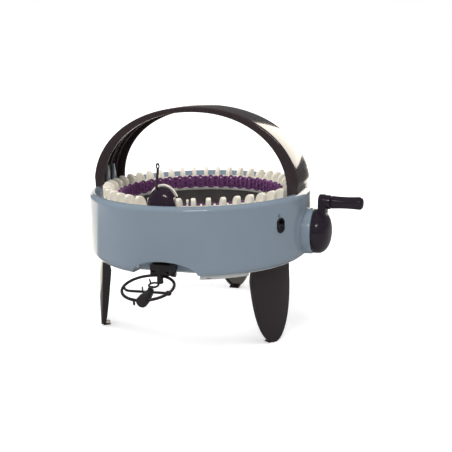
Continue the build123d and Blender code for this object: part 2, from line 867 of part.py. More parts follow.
def leg():
    """Tongue-shaped leg curved like the body, with a lip at its sole and a knuckle at its top."""
    top = -leg_top_gap
    middle = (top + sole) / 2
    inner_top = leg_radius_top - leg_thickness_top
    inner_foot = leg_radius_foot - leg_thickness_foot
    lip = inner_foot - leg_lip
    lip_top = sole + leg_lip_height
    section = Curve() + [
        ThreePointArc(
            (leg_radius_top, 0, top),
            ((leg_radius_top + leg_radius_foot) / 2 + leg_bow, 0, middle),
            (leg_radius_foot, 0, sole),
        ),
        Line((leg_radius_foot, 0, sole), (lip, 0, sole)),
        Line((lip, 0, sole), (lip, 0, lip_top - 1)),
        Line((lip, 0, lip_top - 1), (inner_foot - 1.5, 0, lip_top)),
        Line((inner_foot - 1.5, 0, lip_top), (inner_foot, 0, lip_top + 2.5)),
        ThreePointArc(
            (inner_foot, 0, lip_top + 2.5),
            ((inner_top + inner_foot) / 2 + leg_bow, 0, middle),
            (inner_top, 0, top),
        ),
        Line((inner_top, 0, top), (leg_radius_top, 0, top)),
    ]
    plate = revolve(make_face(section), Axis.Z, revolution_arc=60)
    plate = Rot(0, 0, -30) * plate
    height = leg_outline_top - sole + leg_outline_extra
    points = []
    steps = 16
    for k in range(steps + 1):
        turn = math.pi * k / steps
        side = leg_half_width * math.cos(turn)
        drop = height * math.sin(turn) ** (2 / leg_outline_power)
        points.append((100, side, leg_outline_top - drop))
    outline = make_face(Curve() + [Spline(*points), Line(points[-1], points[0])])
    plate &= extrude(outline, 40, dir=(1, 0, 0))
    half = knuckle_half_length
    low = -leg_hinge_drop - knuckle_radius
    knuckle = along_y(knuckle_radius, -half, half, leg_hinge_radius, -leg_hinge_drop)
    knuckle += block(leg_hinge_radius, inner_top + 1, -half, half, low, top)
    room = leg_pin_radius + shaft_clearance
    bore = along_y(room, -half - 1, half + 1, leg_hinge_radius, -leg_hinge_drop)
    return plate + knuckle - bore


# ---- handle -----------------------------------------------------------------
def arch_points(half_span, rise, power, steps=7):
    """Points of a quarter super-ellipse from the rim up to the apex."""
    points = [(half_span, 0, shell_top)]
    for k in range(1, steps):
        turn = math.pi / 2 * k / steps
        x = half_span * math.cos(turn) ** (2 / power)
        points.append((x, 0, shell_top + rise * math.sin(turn) ** (2 / power)))
    return points + [(0, 0, shell_top + rise)]


def arch_form(half_span, rise, power):
    """Filled arch, deeper than the handle."""
    points = arch_points(half_span, rise, power)
    low = shell_top - 10
    outline = Curve() + [
        Spline(*points, tangents=[(0, 0, 1), (-1, 0, 0)]),
        Line(points[-1], (0, 0, low)),
        Line((0, 0, low), (half_span, 0, low)),
        Line((half_span, 0, low), points[0]),
    ]
    half = extrude(make_face(outline), handle_half_depth + 3, dir=(0, 1, 0), both=True)
    return half + mirror(half, Plane.YZ)


def depth_form(inset=0.0):
    """Slab as deep as the handle at every height, narrower towards its top."""
    low = shell_top - 10
    high = shell_top + handle_rise + 1
    foot = handle_half_depth - inset
    top = handle_top_half_depth - inset
    middle = foot - 0.3 * (foot - top)
    sides = Curve() + [
        Line((0, -foot, low), (0, foot, low)),
        Line((0, foot, low), (0, foot, shell_top)),
        ThreePointArc((0, foot, shell_top), (0, middle, (shell_top + high) / 2), (0, top, high)),
        Line((0, top, high), (0, -top, high)),
        ThreePointArc((0, -top, high), (0, -middle, (shell_top + high) / 2), (0, -foot, shell_top)),
        Line((0, -foot, shell_top), (0, -foot, low)),
    ]
    return extrude(make_face(sides), handle_half_span + 5, dir=(1, 0, 0), both=True)


def handle():
    """Arched handle, a channel open towards the drum, whose feet stand on the rim."""
    arch = arch_form(handle_half_span, handle_rise, handle_power) & depth_form()
    web_outer = arch_form(handle_half_span - handle_wall, handle_rise - handle_wall, handle_power)
    web_outer &= depth_form(handle_wall)
    inside = arch_form(handle_inner_half_span, handle_inner_rise, handle_inner_power)
    rib_inside = arch_form(handle_inner_half_span + 2.5, handle_inner_rise + 0.8, handle_inner_power)
    rib_offset = lug_inner_edge + lug_width + lug_gap + handle_rib / 2
    slab = block(-150, 150, -handle_rib / 2, handle_rib / 2, 0, 300)
    ribs = [Pos(0, y, 0) * slab for y in (-rib_offset, 0.0, rib_offset)]
    ribbed = (web_outer - rib_inside) & (ribs[0] + ribs[1] + ribs[2])
    channel = arch - web_outer + ribbed
    for x, y in handle_screw_places():
        channel += disc(corner_post_radius, corner_low, shell_top + corner_post_rise, x, y)
    channel -= inside
    channel -= body_envelope()
    channel -= crown_room()
    channel &= disc(lip_outer + 3.0, 0, shell_top + handle_rise + 5)
    for sx in (1, -1):
        for sy in (1, -1):
            channel -= lug_room(sx, sy)
    for x, y in handle_screw_places():
        channel -= Pos(x, y, corner_low) * screw_hole(corner_screw_length())
    return channel


def lug_room(sx, sy):
    """Room in the handle's foot for one lug, with clearance all round."""
    x0 = collar_inner
    y0 = lug_inner_edge - lug_gap
    y1 = lug_inner_edge + lug_width + lug_gap
    room = block(x0, x0 + 0.4 + lug_thickness + lug_gap, y0, y1, crown_top, crown_top + lug_height + 1.5)
    if sx < 0:
        room = mirror(room, Plane.YZ)
    if sy < 0:
        room = mirror(room, Plane.XZ)
    return room


def corner_screws(places):
    """Screws driven upwards from inside the shell."""
    return [Pos(x, y, corner_low) * screw(corner_screw_length()) for x, y in places]


# ---- feeder -----------------------------------------------------------------
def egg(grow=0.0, grow_depth=0.0, grow_height=0.0):
    """Ellipsoid of the hood about the feeder's middle, at the crown's floor, or a larger one."""
    half_depth = feeder_half_depth + grow + grow_depth
    height = feeder_height + grow + grow_height
    ball = scale(Sphere(1), by=(feeder_half_width + grow, half_depth, height))
    return Pos(feeder_x, feeder_y, crown_top) * ball


def crown_room():
    """Swept room of the turning crown."""
    return disc(collar_inner + 0.1, 0, fin_top + feeder_fin_gap)


def feeder_dome():
    """Hood over the needles at the front, open below and behind."""
    whole = egg()
    back = feeder_y + feeder_back
    dome = whole - egg(-feeder_wall)
    posts = [disc(corner_post_radius, crown_top, shell_top + 7, x, y) for x, y in feeder_screw_places()]
    posts.append(disc(rod_radius + 1.8, crown_top, rod_foot[2] + 3, rod_foot[0], rod_foot[1]))
    dome += [post & whole for post in posts]
    dome -= block(-60, 60, back, back + 80, 0, 200)
    dome -= body_envelope()
    dome -= crown_room()
    dome -= disc(200, 0, crown_top)
    dome -= rod_between(rod_foot, rod_tip, rod_radius + press_gap)
    for x, y in feeder_screw_places():
        dome -= Pos(x, y, corner_low) * screw_hole(corner_screw_length())
    return dome.solids().sort_by(SortBy.VOLUME)[-1]


def feeder_guard():
    """White rim over the hood's back edge."""
    outer = egg(guard_thickness, 1.0, guard_rise - guard_thickness)
    inner = egg(fit_gap / 3)
    back = feeder_y + feeder_back
    guard = outer - inner
    guard &= block(-60, 60, back - guard_depth, back, 0, 200)
    guard -= crown_room()
    return guard


def yarn_rod():
    """Upright rod with a flat eye at its top for the yarn."""
    rod = rod_between(rod_foot, rod_tip, rod_radius)
    eye = Pos(rod_tip[0], rod_tip[1], rod_tip[2] + rod_eye_height / 2 - 0.8)
    ring = scale(Cylinder(1, 2.2, rotation=(90, 0, 0)), by=(rod_eye_width / 2, 1, rod_eye_height / 2))
    hole = scale(Cylinder(1, 4, rotation=(90, 0, 0)), by=(rod_eye_hole / 2, 1, rod_eye_height / 2 - 1.4))
    return rod + eye * (ring - hole)


# ---- tensioner --------------------------------------------------------------
def tension_plane():
    """Plane of the tensioner's ring: x along its hinge, y towards the body."""
    tilt = math.radians(tension_tilt)
    return Plane(
        origin=(tension_x, tension_y, tension_z),
        x_dir=(1, 0, 0),
        z_dir=(0, -math.sin(tilt), math.cos(tilt)),
    )


def hinge_point():
    """Height and depth of the tensioner's hinge."""
    tilt = math.radians(tension_tilt)
    return tension_y + hinge_reach * math.cos(tilt), tension_z + hinge_reach * math.sin(tilt)


def tensioner_bracket():
    """Block in the recess with two cheeks for the ring's hinge."""
    y, z = hinge_point()
    reach = hinge_half_length + hinge_side_gap + bracket_cheek
    x0 = hinge_x - reach
    x1 = hinge_x + reach
    back = -(body_radius - recess_depth) + 6
    form = block(x0, x1, bracket_front, back, bracket_under, bracket_top)
    form -= block(x0 - 1, x1 + 1, y - hinge_radius - 3.6, back + 1, -50, z + hinge_radius + 1.2)
    for side in (-1, 1):
        inner = hinge_x + side * (hinge_half_length + hinge_side_gap)
        outer = hinge_x + side * reach
        a = min(inner, outer)
        b = max(inner, outer)
        form += along_x(hinge_radius + 0.6, a, b, z, y)
        form += block(a, b, y - hinge_radius - 0.6, y + hinge_radius + 0.6, z, bracket_top - 2)
    for side in (-1, 1):
        middle = hinge_x + side * (reach - bracket_cheek / 2 - 1.2)
        low = bracket_under + 1.6
        form -= block(middle - 2.4, middle + 2.4, bracket_front - 1, bracket_front + 6, low, low + 2.6)
    form &= recess_form(-fit_gap / 3)
    form -= along_x(hinge_pin_radius + shaft_clearance, x0 - 1, x1 + 1, z, y)
    form -= disc(plug_radius + press_gap, bracket_under - 1, bracket_under + 3, 0, plug_y)
    return form


def tensioner_pin():
    """Hinge pin of the tensioner's ring."""
    y, z = hinge_point()
    reach = hinge_half_length + hinge_side_gap + bracket_cheek
    return along_x(hinge_pin_radius, hinge_x - reach, hinge_x + reach, z, y)


def tension_plug():
    """Round plug under the bracket."""
    plug = disc(plug_radius, -plug_drop, bracket_under + 3, 0, plug_y)
    return chamfer(plug.edges().group_by(Axis.Z)[0], 0.8)


def tensioner_ring():
    """Flat wire ring with its cross bar, hinge knuckle and end boss."""
    ring = Torus(tension_radius, wire_radius)
    knuckle_x = hinge_x - tension_x
    knuckle_left = (knuckle_x - hinge_half_length, hinge_reach, 0)
    knuckle_right = (knuckle_x + hinge_half_length, hinge_reach, 0)
    knuckle = rod_between(knuckle_left, knuckle_right, hinge_radius)
    half_web = hinge_half_length - 2.2
    web_start = math.sqrt(tension_radius**2 - (knuckle_x + half_web) ** 2)
    web = block(knuckle_x - half_web, knuckle_x + half_web, web_start, hinge_reach, -wire_radius, wire_radius)
    left = -math.sqrt(tension_radius**2 - 3.0**2)
    right = math.sqrt(tension_radius**2 - bar_offset**2)
    elbow = (left + 7.5, -bar_offset - 2.5, 0)
    bar = rod_between((left, -3, 0), elbow, bar_radius)
    bar += Pos(*elbow) * Sphere(bar_radius)
    bar += rod_between(elbow, (right, -bar_offset, 0), bar_radius)
    bar += Pos(right, -bar_offset, 0) * Sphere(bar_radius * 2.1)
    collar_end = (sleeve_x, -sleeve_start + fit_gap, 0)
    bar += rod_between((sleeve_x, -bar_offset + 1.5, 0), collar_end, axle_radius + 1.6)
    bar += rod_between((-2.1, -bar_offset - 1, 0), (-2.1, -bar_offset - 1, 5.5), 0.8)
    boss_start = (sleeve_x, -sleeve_end - fit_gap, 0)
    end_boss = rod_between(boss_start, (sleeve_x, -end_boss_reach, 0), end_boss_radius)
    tab = rod_between((-4.3, -27.8, 0), (-4.3, -27.8, -6.0), 1.2)
    body = ring + knuckle + web + bar + end_boss + tab
    body -= rod_between((sleeve_x, 0, 0), (sleeve_x, -end_boss_reach + 2, 0), axle_radius + press_gap)
    body -= rod_between((-40, hinge_reach, 0), (60, hinge_reach, 0), hinge_pin_radius + shaft_clearance)
    return tension_plane() * body


def tension_axle():
    """Axle that the sleeve turns on."""
    start = (sleeve_x, -bar_offset + 1.5, 0)
    end = (sleeve_x, -end_boss_reach + 2, 0)
    return tension_plane() * rod_between(start, end, axle_radius)


def tension_sleeve():
    """Tapered sleeve between the cross bar and the end boss."""
    points = [
        (axle_radius + shaft_clearance, 0, 0),
        (sleeve_radius_bar, 0, 0),
        (sleeve_radius_end, 0, sleeve_end - sleeve_start),
        (axle_radius + shaft_clearance, 0, sleeve_end - sleeve_start),
    ]
    cone = revolve(make_face(Polyline(*points, close=True)), Axis.Z)
    place = Plane(origin=(sleeve_x, -sleeve_start, 0), z_dir=(0, -1, 0))
    return tension_plane() * (place * cone)


def tension_eyelet():
    """Small yarn eye with two horns, clipped over the cross bar."""
    ring = Pos(sleeve_x, eyelet_y, eyelet_lift) * Rot(0, 0, 90) * Torus(eyelet_radius, eyelet_wire)
    foot_low = axle_radius + 1.7
    foot_end = eyelet_y - eyelet_radius + 0.6
    body = ring + block(sleeve_x - 2.2, sleeve_x + 2.2, -bar_offset - 2.0, foot_end, foot_low, foot_low + 1.4)
    for side in (-1, 1):
        horn_x = sleeve_x + side * eyelet_radius * 0.86
        horn_y = eyelet_y + eyelet_radius * 0.5
        tip = (horn_x + side * 0.8, horn_y, eyelet_lift + 5.0)
        body += rod_between((horn_x, horn_y, eyelet_lift - 0.5), tip, 0.9)
    return tension_plane() * body


# ---- selector ---------------------------------------------------------------
def selector_opening(half_width, half_height, inner=None, outer=None, rise=0.0):
    """Oval prism through the wall, made at +X."""
    start = shell_inner - 4 if inner is None else inner
    end = body_radius + 4 if outer is None else outer
    oval = Rot(0, 0, 90) * SlotOverall(2 * half_height, 2 * half_width)
    face = Plane.YZ.offset(start) * Pos(0, selector_height + rise) * oval
    return extrude(face, end - start)


def selector_bezel_part():
    """Oval frame set into the wall."""
    front = body_radius + selector_proud
    back = shell_inner - 0.6
    gap = fit_gap / 2
    frame = selector_opening(selector_half_width - gap, selector_half_height - gap, back, front)
    frame -= selector_opening(selector_half_width - selector_bezel, selector_half_height - selector_bezel)
    return around(selector_angle, frame)


def selector_slide():
    """Knob that slides in the oval between its two stops, with a keeper plate behind the wall."""
    half_width = selector_half_width - selector_bezel - selector_gap
    half_height = selector_half_height - selector_bezel - selector_travel / 2 - selector_gap
    drop = -selector_travel / 2
    start = shell_inner - 1.2
    knob = selector_opening(half_width, half_height, start, body_radius + selector_proud + 1.2, drop)
    ridges = [
        block(
            body_radius + selector_proud + 0.6,
            body_radius + selector_proud + 2,
            -half_width,
            half_width,
            selector_height + drop + 1.6 * k - 0.35,
            selector_height + drop + 1.6 * k + 0.35,
        )
        for k in (-1, 0, 1)
    ]
    knob -= ridges
    keeper = block(
        start - 1.6,
        start,
        -selector_half_width,
        selector_half_width,
        selector_height + drop - half_height - 1,
        selector_height + drop + half_height + 1,
    )
    return around(selector_angle, knob + keeper)


# ---- crank ------------------------------------------------------------------
def crank_hub():
    """Domed hub of the crank with a channel for its arm."""
    flat_end = dome_start + dome_straight
    section = Curve() + [
        Line((dome_start, 0, 0), (dome_start, 0, dome_radius)),
        Line((dome_start, 0, dome_radius), (flat_end, 0, dome_radius)),
        ThreePointArc(
            (flat_end, 0, dome_radius),
            (flat_end + dome_rise * 0.68, 0, dome_radius * 0.66),
            (dome_end, 0, dome_radius * 0.18),
        ),
        Line((dome_end, 0, dome_radius * 0.18), (dome_end, 0, 0)),
        Line((dome_end, 0, 0), (dome_start, 0, 0)),
    ]
    dome = Pos(0, 0, shaft_height) * revolve(make_face(section), Axis.X)
    dome -= arm_form(fit_gap / 3)
    dome -= d_bar(shaft_radius + press_gap, shaft_flat + press_gap, dome_start - 1, arm_start + 1)
    dome -= along_x(screw_head_radius + screw_gap, arm_end - 1, dome_end - 3)
    dome -= along_x(screw_head_radius + screw_gap, arm_end - 1, dome_end + 1)
    return dome


def arm_form(grow=0.0):
    """Arm from the shaft to the grip's eye, wider at its foot."""
    foot = Pos(0, shaft_height) * Circle(arm_half_width_foot + grow)
    eye = Pos(0, eye_height) * Circle(eye_radius + grow)
    plane = Plane.YZ.offset(arm_start - grow)
    low = shaft_height
    sides = Polyline(
        (arm_half_width_foot + grow, low),
        (arm_half_width_top + grow, eye_height),
        (-arm_half_width_top - grow, eye_height),
        (-arm_half_width_foot - grow, low),
        close=True,
    )
    outline = plane * (foot + make_face(sides) + eye)
    return extrude(outline, arm_thickness + 2 * grow)


def crank_arm():
    """Flat arm with the shaft's bore at its foot and a boss for the grip's pin at its eye."""
    arm = arm_form() + along_x(eye_radius - 0.8, arm_end - 1, arm_start + eye_length, eye_height)
    arm -= d_bar(shaft_radius + press_gap, shaft_flat + press_gap, arm_start - 1, arm_end - 0.8)
    arm -= along_x(screw_radius + screw_gap, arm_start, arm_end + 1)
    return arm - along_x(grip_pin_radius + press_gap, arm_start - 1, grip_start, eye_height)


def crank_screw():
    """Screw that holds the arm on the shaft's end."""
    head = along_x(screw_head_radius, arm_end, arm_end + 2)
    return head + along_x(screw_radius, arm_end - screw_length, arm_end)


def grip_pin():
    """Pin that carries the grip, pressed into the arm."""
    pin_end = grip_end - 6.0
    pin = along_x(grip_pin_radius, arm_start + 0.5, pin_end, eye_height)
    return pin + along_x(grip_pin_head, pin_end - 1.6, pin_end, eye_height)


def crank_grip():
    """Turned grip, slightly waisted, closed and rounded at its outer end."""
    r = grip_radius
    pin_end = grip_end - 6.0
    bore = grip_pin_radius + shaft_clearance
    head = grip_pin_head + shaft_clearance * 2
    middle = (grip_start + grip_end) / 2
    section = Curve() + [
        Line((grip_start, 0, 0), (grip_start, 0, r - 1.0)),
        Line((grip_start, 0, r - 1.0), (grip_start + 1.0, 0, r)),
        ThreePointArc((grip_start + 1.0, 0, r), (middle, 0, grip_waist), (grip_end - 4.5, 0, r)),
        ThreePointArc((grip_end - 4.5, 0, r), (grip_end - 1.3, 0, r - 1.6), (grip_end, 0, r - 4.5)),
        Line((grip_end, 0, r - 4.5), (grip_end, 0, 0)),
        Line((grip_end, 0, 0), (grip_start, 0, 0)),
    ]
    grip = Pos(0, 0, eye_height) * revolve(make_face(section), Axis.X)
    grip -= along_x(bore, grip_start - 1, pin_end, eye_height)
    return grip - along_x(head, pin_end - 1.6 - 0.2, pin_end + 0.2, eye_height)


# ---- screws -----------------------------------------------------------------
def pan_screws():
    """Screws that hold the pan to the body and the skirt to the pan."""
    outer = [
        around(pan_boss_phase + k * 360.0 / pan_boss_count, Pos(boss_circle, 0, 0) * screw())
        for k in range(pan_boss_count)
    ]
    place = Pos(skirt_screw_circle(), 0, 0)
    inner = [around(angle, place * screw(skirt_screw_length())) for angle in skirt_screw_angles()]
    return outer + inner


def cam_screws():
    """Screws that hold the cam ring under the rim."""
    low = cam_top - cam_flange_height
    place = Pos(cam_screw_circle(), 0, low)
    return [around(angle, place * screw(cam_screw_length())) for angle in cam_screw_angles()]


def all_parts():
    """Every piece of the mill by its name."""
    parts = {
        "body_shell": body_shell(),
        "lower_pan": lower_pan(),
        "inner_skirt": inner_skirt(),
        "cam_ring": cam_ring(),
        "cam_screws": cam_screws(),
        "pan_screws": pan_screws(),
        "shaft_bush": shaft_bush(),
        "shaft_bush_inner": shaft_bush_inner(),
        "needle_cylinder": needle_cylinder(),
        "needle_crown": needle_crown(),
        "ring_gear": ring_gear(),
        "needles": lowered_needles(),
        "knitted_band": knitted_band(),
        "crank_shaft": crank_shaft(),
        "pinion": pinion(),
        "crank_arm": crank_arm(),
        "crank_hub": crank_hub(),
        "crank_screw": crank_screw(),
        "grip_pin": grip_pin(),
        "crank_grip": crank_grip(),
        "handle": handle(),
        "handle_screws": corner_screws(handle_screw_places()),
        "feeder_dome": feeder_dome(),
        "feeder_guard": feeder_guard(),
        "feeder_screws": corner_screws(feeder_screw_places()),
        "yarn_rod": yarn_rod(),
        "tensioner_bracket": tensioner_bracket(),
        "tensioner_pin": tensioner_pin(),
        "tensioner_ring": tensioner_ring(),
        "tension_axle": tension_axle(),
        "tension_sleeve": tension_sleeve(),
        "tension_eyelet": tension_eyelet(),
        "tension_plug": tension_plug(),
        "selector_bezel": selector_bezel_part(),
        "selector_slide": selector_slide(),
    }
    for name, (index, lift) in raised_needles().items():
        parts[name] = around(needle_phase + index * pitch_angle, needle(lift))
    for name, angle in zip(leg_names, leg_angles):
        parts["leg_" + name] = around(angle, leg())
        parts["leg_pin_" + name] = around(angle, leg_pin())
    return parts


def write_parts():
    """Write one file for each piece."""
    os.makedirs("parts", exist_ok=True)
    for name, shape in all_parts().items():
        solids = shape if isinstance(shape, list) else [shape]
        solids = [solid for piece in solids for solid in piece.solids()]
        whole = Compound(children=solids) if len(solids) > 1 else solids[0]
        export_step(whole, os.path.join("parts", name + ".step"))


write_parts()
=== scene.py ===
"""Looks of a hand-cranked circular knitting mill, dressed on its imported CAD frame.

Sizes in the shape functions are millimetres in the frame's axes: the drum's axis is Z, the crank's
is X at height 30, the yarn feeder stands at -Y and the table lies at height -88.
"""
import json
import math

import bmesh
import bpy
import numpy as np
from mathutils import Matrix

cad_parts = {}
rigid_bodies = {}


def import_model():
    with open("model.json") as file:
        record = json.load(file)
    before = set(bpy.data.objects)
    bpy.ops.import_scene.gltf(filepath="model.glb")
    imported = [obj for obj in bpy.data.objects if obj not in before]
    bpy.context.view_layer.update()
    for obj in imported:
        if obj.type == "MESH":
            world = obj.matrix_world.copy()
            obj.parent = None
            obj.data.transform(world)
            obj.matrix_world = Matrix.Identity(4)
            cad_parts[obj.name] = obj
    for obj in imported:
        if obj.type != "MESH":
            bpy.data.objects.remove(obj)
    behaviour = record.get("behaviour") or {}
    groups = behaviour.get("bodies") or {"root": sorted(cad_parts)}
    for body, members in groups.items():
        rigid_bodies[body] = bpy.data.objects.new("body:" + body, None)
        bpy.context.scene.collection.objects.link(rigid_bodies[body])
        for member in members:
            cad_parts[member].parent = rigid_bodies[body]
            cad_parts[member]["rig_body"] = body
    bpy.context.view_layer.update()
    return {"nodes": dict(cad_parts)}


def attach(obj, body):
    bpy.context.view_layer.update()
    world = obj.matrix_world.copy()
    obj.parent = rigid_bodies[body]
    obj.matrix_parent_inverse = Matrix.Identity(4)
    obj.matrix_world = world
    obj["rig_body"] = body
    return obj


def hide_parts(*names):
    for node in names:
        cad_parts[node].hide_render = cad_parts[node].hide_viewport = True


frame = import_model()
NODES = frame["nodes"]

SHAFT_Z = 30.0
TABLE_Z = -88.0
CROWN_Z = 73.0
RIM_Z = 78.0
NEEDLES = 44
PITCH = 2 * math.pi / NEEDLES
FIN_PHASE = math.radians(-64.7)
NEEDLE_PHASE = FIN_PHASE + PITCH / 2
FIN_TURNS, NEEDLE_TURNS = [phase + PITCH * np.arange(NEEDLES) for phase in (FIN_PHASE, NEEDLE_PHASE)]


# ---- surfaces ----
def grid_faces(points, close_u=False, close_v=False):
    """Quads over a grid of points [u, v]; a closed direction joins its last line to its first."""
    nu, nv = points.shape[:2]
    index = np.arange(nu * nv).reshape(nu, nv)
    if close_u:
        index = np.concatenate([index, index[:1]], 0)
    if close_v:
        index = np.concatenate([index, index[:, :1]], 1)
    quads = np.stack([index[:-1, :-1], index[1:, :-1], index[1:, 1:], index[:-1, 1:]], -1)
    return points.reshape(-1, 3), [quads.reshape(-1, 4)]


def joined(*shapes):
    """Several (points, faces) shapes as one."""
    points, faces, start = [], [], 0
    for shape_points, shape_faces in shapes:
        points.append(shape_points)
        faces += [f + start for f in shape_faces]
        start += len(shape_points)
    return np.concatenate(points), faces


def capped(shape, count):
    """The shape with a face over its first and over its last ring of count points."""
    points, faces = shape
    first, last = np.arange(count), np.arange(len(points) - count, len(points))
    return points, faces + [first[None, ::-1], last[None]]


def unit(vectors):
    """Vectors scaled to a length of one."""
    return vectors / np.linalg.norm(vectors, axis=-1, keepdims=True)


def full_turn(count):
    """Angles of one full turn in even steps."""
    return np.linspace(0, 2 * math.pi, count, endpoint=False)


def polar(radius, turn, height):
    """Points from radius, turn about the drum's axis and height, each a number or a grid."""
    return np.stack(np.broadcast_arrays(radius * np.cos(turn), radius * np.sin(turn), height), -1)


def arc(centre, radius, first, last, steps):
    """Points (a, b) of an arc from one angle to another, in degrees."""
    a = np.radians(np.linspace(first, last, steps))
    return np.array(centre, float) + radius * np.stack([np.cos(a), np.sin(a)], 1)


def repeated(shape, angles):
    """Copies of a shape turned to each angle about the drum's axis."""
    points, faces = shape
    c, s = np.cos(angles)[:, None], np.sin(angles)[:, None]
    x, y, z = points.T
    copies = np.stack(np.broadcast_arrays(x * c - y * s, x * s + y * c, z), -1)
    shift = (np.arange(len(angles)) * len(points))[:, None, None]
    return copies.reshape(-1, 3), [(f + shift).reshape(-1, f.shape[1]) for f in faces]


def changed(shape, rule):
    """The shape with its points (x, y, z) put through a rule."""
    points, faces = shape
    return np.stack(rule(*points.T), -1), faces


def moved(shape, by):
    """The shape shifted by (x, y, z)."""
    return shape[0] + by, shape[1]


def stepped(marks, counts):
    """Values from mark to mark, each stretch with its own count of even steps."""
    spans = [np.linspace(low, high, n)[1:] for low, high, n in zip(marks, marks[1:], counts)]
    return np.concatenate([marks[:1], *spans])


def rounded(corners, steps, closed=True):
    """Outline through (x, y, radius) corners, each corner an arc that touches both its sides."""
    line, count = [], len(corners)
    spots = np.array(corners, float)[:, :2]
    for k, here in enumerate(spots):
        radius = corners[k][2]
        if radius == 0 or (not closed and k in (0, count - 1)):
            line.append(here[None])
            continue
        back, ahead = spots[k - 1] - here, spots[(k + 1) % count] - here
        reach = min(np.hypot(*back), np.hypot(*ahead)) * 0.49
        back, ahead = unit(back), unit(ahead)
        half = math.acos(np.clip(back @ ahead, -1, 1)) / 2
        tangent = min(radius / math.tan(half), reach)
        size = tangent * math.tan(half)
        centre = here + unit(back + ahead) * size / math.sin(half)
        first, last = here + back * tangent - centre, here + ahead * tangent - centre
        turn = math.atan2(first[0] * last[1] - first[1] * last[0], first @ last)
        a = np.linspace(0, turn, steps + 1)[:, None]
        side = np.array([-first[1], first[0]])
        line.append(centre + first * np.cos(a) + side * np.sin(a))
    return np.concatenate(line)


def lathe(profile, sides, axis="z", closed=True):
    """A (radius, height) profile turned about the drum's axis, or (x, radius) about the crank's."""
    turn = full_turn(sides)[:, None]
    if axis == "z":
        grid = polar(profile[:, 0], turn, profile[:, 1])
    else:
        grid = polar(profile[:, 1], turn, profile[:, 0])[..., [2, 0, 1]] + [0, 0, SHAFT_Z]
    return grid_faces(grid, True, closed)


def inset(outline, distance):
    """A closed outline (a, b) moved inwards, by one distance or one for each point."""
    ahead = np.roll(outline, -1, 0) - np.roll(outline, 1, 0)
    ahead /= np.hypot(ahead[:, 0], ahead[:, 1])[:, None] + 1e-9
    a, b = outline.T
    area = np.sum(a * np.roll(b, -1) - np.roll(a, -1) * b)
    return outline + np.stack([-ahead[:, 1], ahead[:, 0]], 1) * math.copysign(1, area) * distance


def slab(outline, half, edge, steps=4):
    """A closed outline (a, b) carried through a thickness c from -half to half.

    The edges follow a quarter circle of the edge radius, which may differ from point to point.
    """
    edge = np.broadcast_to(edge, len(outline))[:, None]
    q = np.linspace(0, math.pi / 2, steps + 1)[:, None, None]
    flat = inset(outline, edge * (1 - np.sin(q)))
    height = np.broadcast_to(-half + edge * (1 - np.cos(q)), flat[..., :1].shape)
    low = np.concatenate([flat, height], -1)
    high = low[::-1] * [1, 1, -1]
    return capped(grid_faces(np.concatenate([low, high]), False, True), len(outline))


def carried(path, section, closed, up):
    """A section (a, b) carried along a path of points: a lies along up x tangent, b across both."""
    ahead = np.roll(path, -1, 0) - np.roll(path, 1, 0) if closed else np.gradient(path, axis=0)
    ahead = unit(ahead)
    side = unit(np.cross(up, ahead))
    top = np.cross(ahead, side)
    section = np.broadcast_to(section, (len(path),) + section.shape[-2:])
    grid = path[:, None] + section[..., :1] * side[:, None] + section[..., 1:] * top[:, None]
    shape = grid_faces(grid, closed, True)
    return shape if closed else capped(shape, section.shape[1])


def wire(path, radius, sides, closed=False, up=(0, 0, 1)):
    """Round bar along a path; open ends close in a half ball. The radius may change along the path."""
    radius = np.broadcast_to(radius, len(path))
    if not closed:
        q = np.linspace(0, math.pi / 2, 5)[:-1]
        ends = []
        for tip, inner, r in ((path[0], path[1], radius[0]), (path[-1], path[-2], radius[-1])):
            out = unit(tip - inner)
            ends.append((tip + out * (r * np.cos(q))[:, None], r * np.sin(q) + 1e-4))
        path = np.concatenate([ends[0][0], path, ends[1][0][::-1]])
        radius = np.concatenate([ends[0][1], radius, ends[1][1][::-1]])
    circle = polar(1, full_turn(sides), 0)[:, :2]
    return carried(path, radius[:, None, None] * circle, closed, up)


def merged(mesh, outwards):
    """Merges a mesh's doubled points, and turns its faces outwards where that is asked for."""
    work = bmesh.new()
    work.from_mesh(mesh)
    bmesh.ops.remove_doubles(work, verts=work.verts, dist=2e-6)
    if outwards:
        bmesh.ops.recalc_face_normals(work, faces=work.faces)
    work.to_mesh(mesh)
    work.free()


def placed(name, data):
    """A new object in the scene for a mesh, a lamp or the camera."""
    made = bpy.data.objects.new(name, data)
    bpy.context.scene.collection.objects.link(made)
    return made


def piece(name, shape, finish, body, nodes=(), smooth=40.0):
    """Puts a shape into the scene in metres, riding on a CAD body and standing for CAD nodes."""
    points, faces = shape
    mesh = bpy.data.meshes.new(name)
    mesh.from_pydata((points * 0.001).tolist(), [], [f for block in faces for f in block.tolist()])
    merged(mesh, True)
    return dressed_object(name, mesh, finish, body, nodes, smooth)


def dressed_object(name, mesh, finish, body, nodes, smooth):
    """Object for a finished mesh: smooth but for edges sharper than an angle."""
    mesh.shade_smooth()
    mesh.set_sharp_from_angle(angle=math.radians(smooth))
    mesh.materials.clear()
    mesh.materials.append(FINISHES[finish])
    made = placed(name, mesh)
    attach(made, body)
    if nodes:
        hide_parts(*nodes)
    return made


def polished(node, finish):
    """A CAD node's own shape with its loose triangles merged, so that curved faces shade smoothly."""
    source = NODES[node]
    mesh = source.data.copy()
    merged(mesh, False)
    return dressed_object(node + "_finish", mesh, finish, source["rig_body"], [node], 32)


# ---- finishes ----
def node_group(name, inputs, outputs):
    """Empty shader group with number inputs (name, default) and number outputs (name)."""
    group = bpy.data.node_groups.new(name, "ShaderNodeTree")
    for label, value in inputs:
        socket = group.interface.new_socket(name=label, in_out="INPUT", socket_type="NodeSocketFloat")
        socket.default_value = value
    for label in outputs:
        group.interface.new_socket(name=label, in_out="OUTPUT", socket_type="NodeSocketFloat")
    return group, group.nodes.new("NodeGroupInput"), group.nodes.new("NodeGroupOutput")


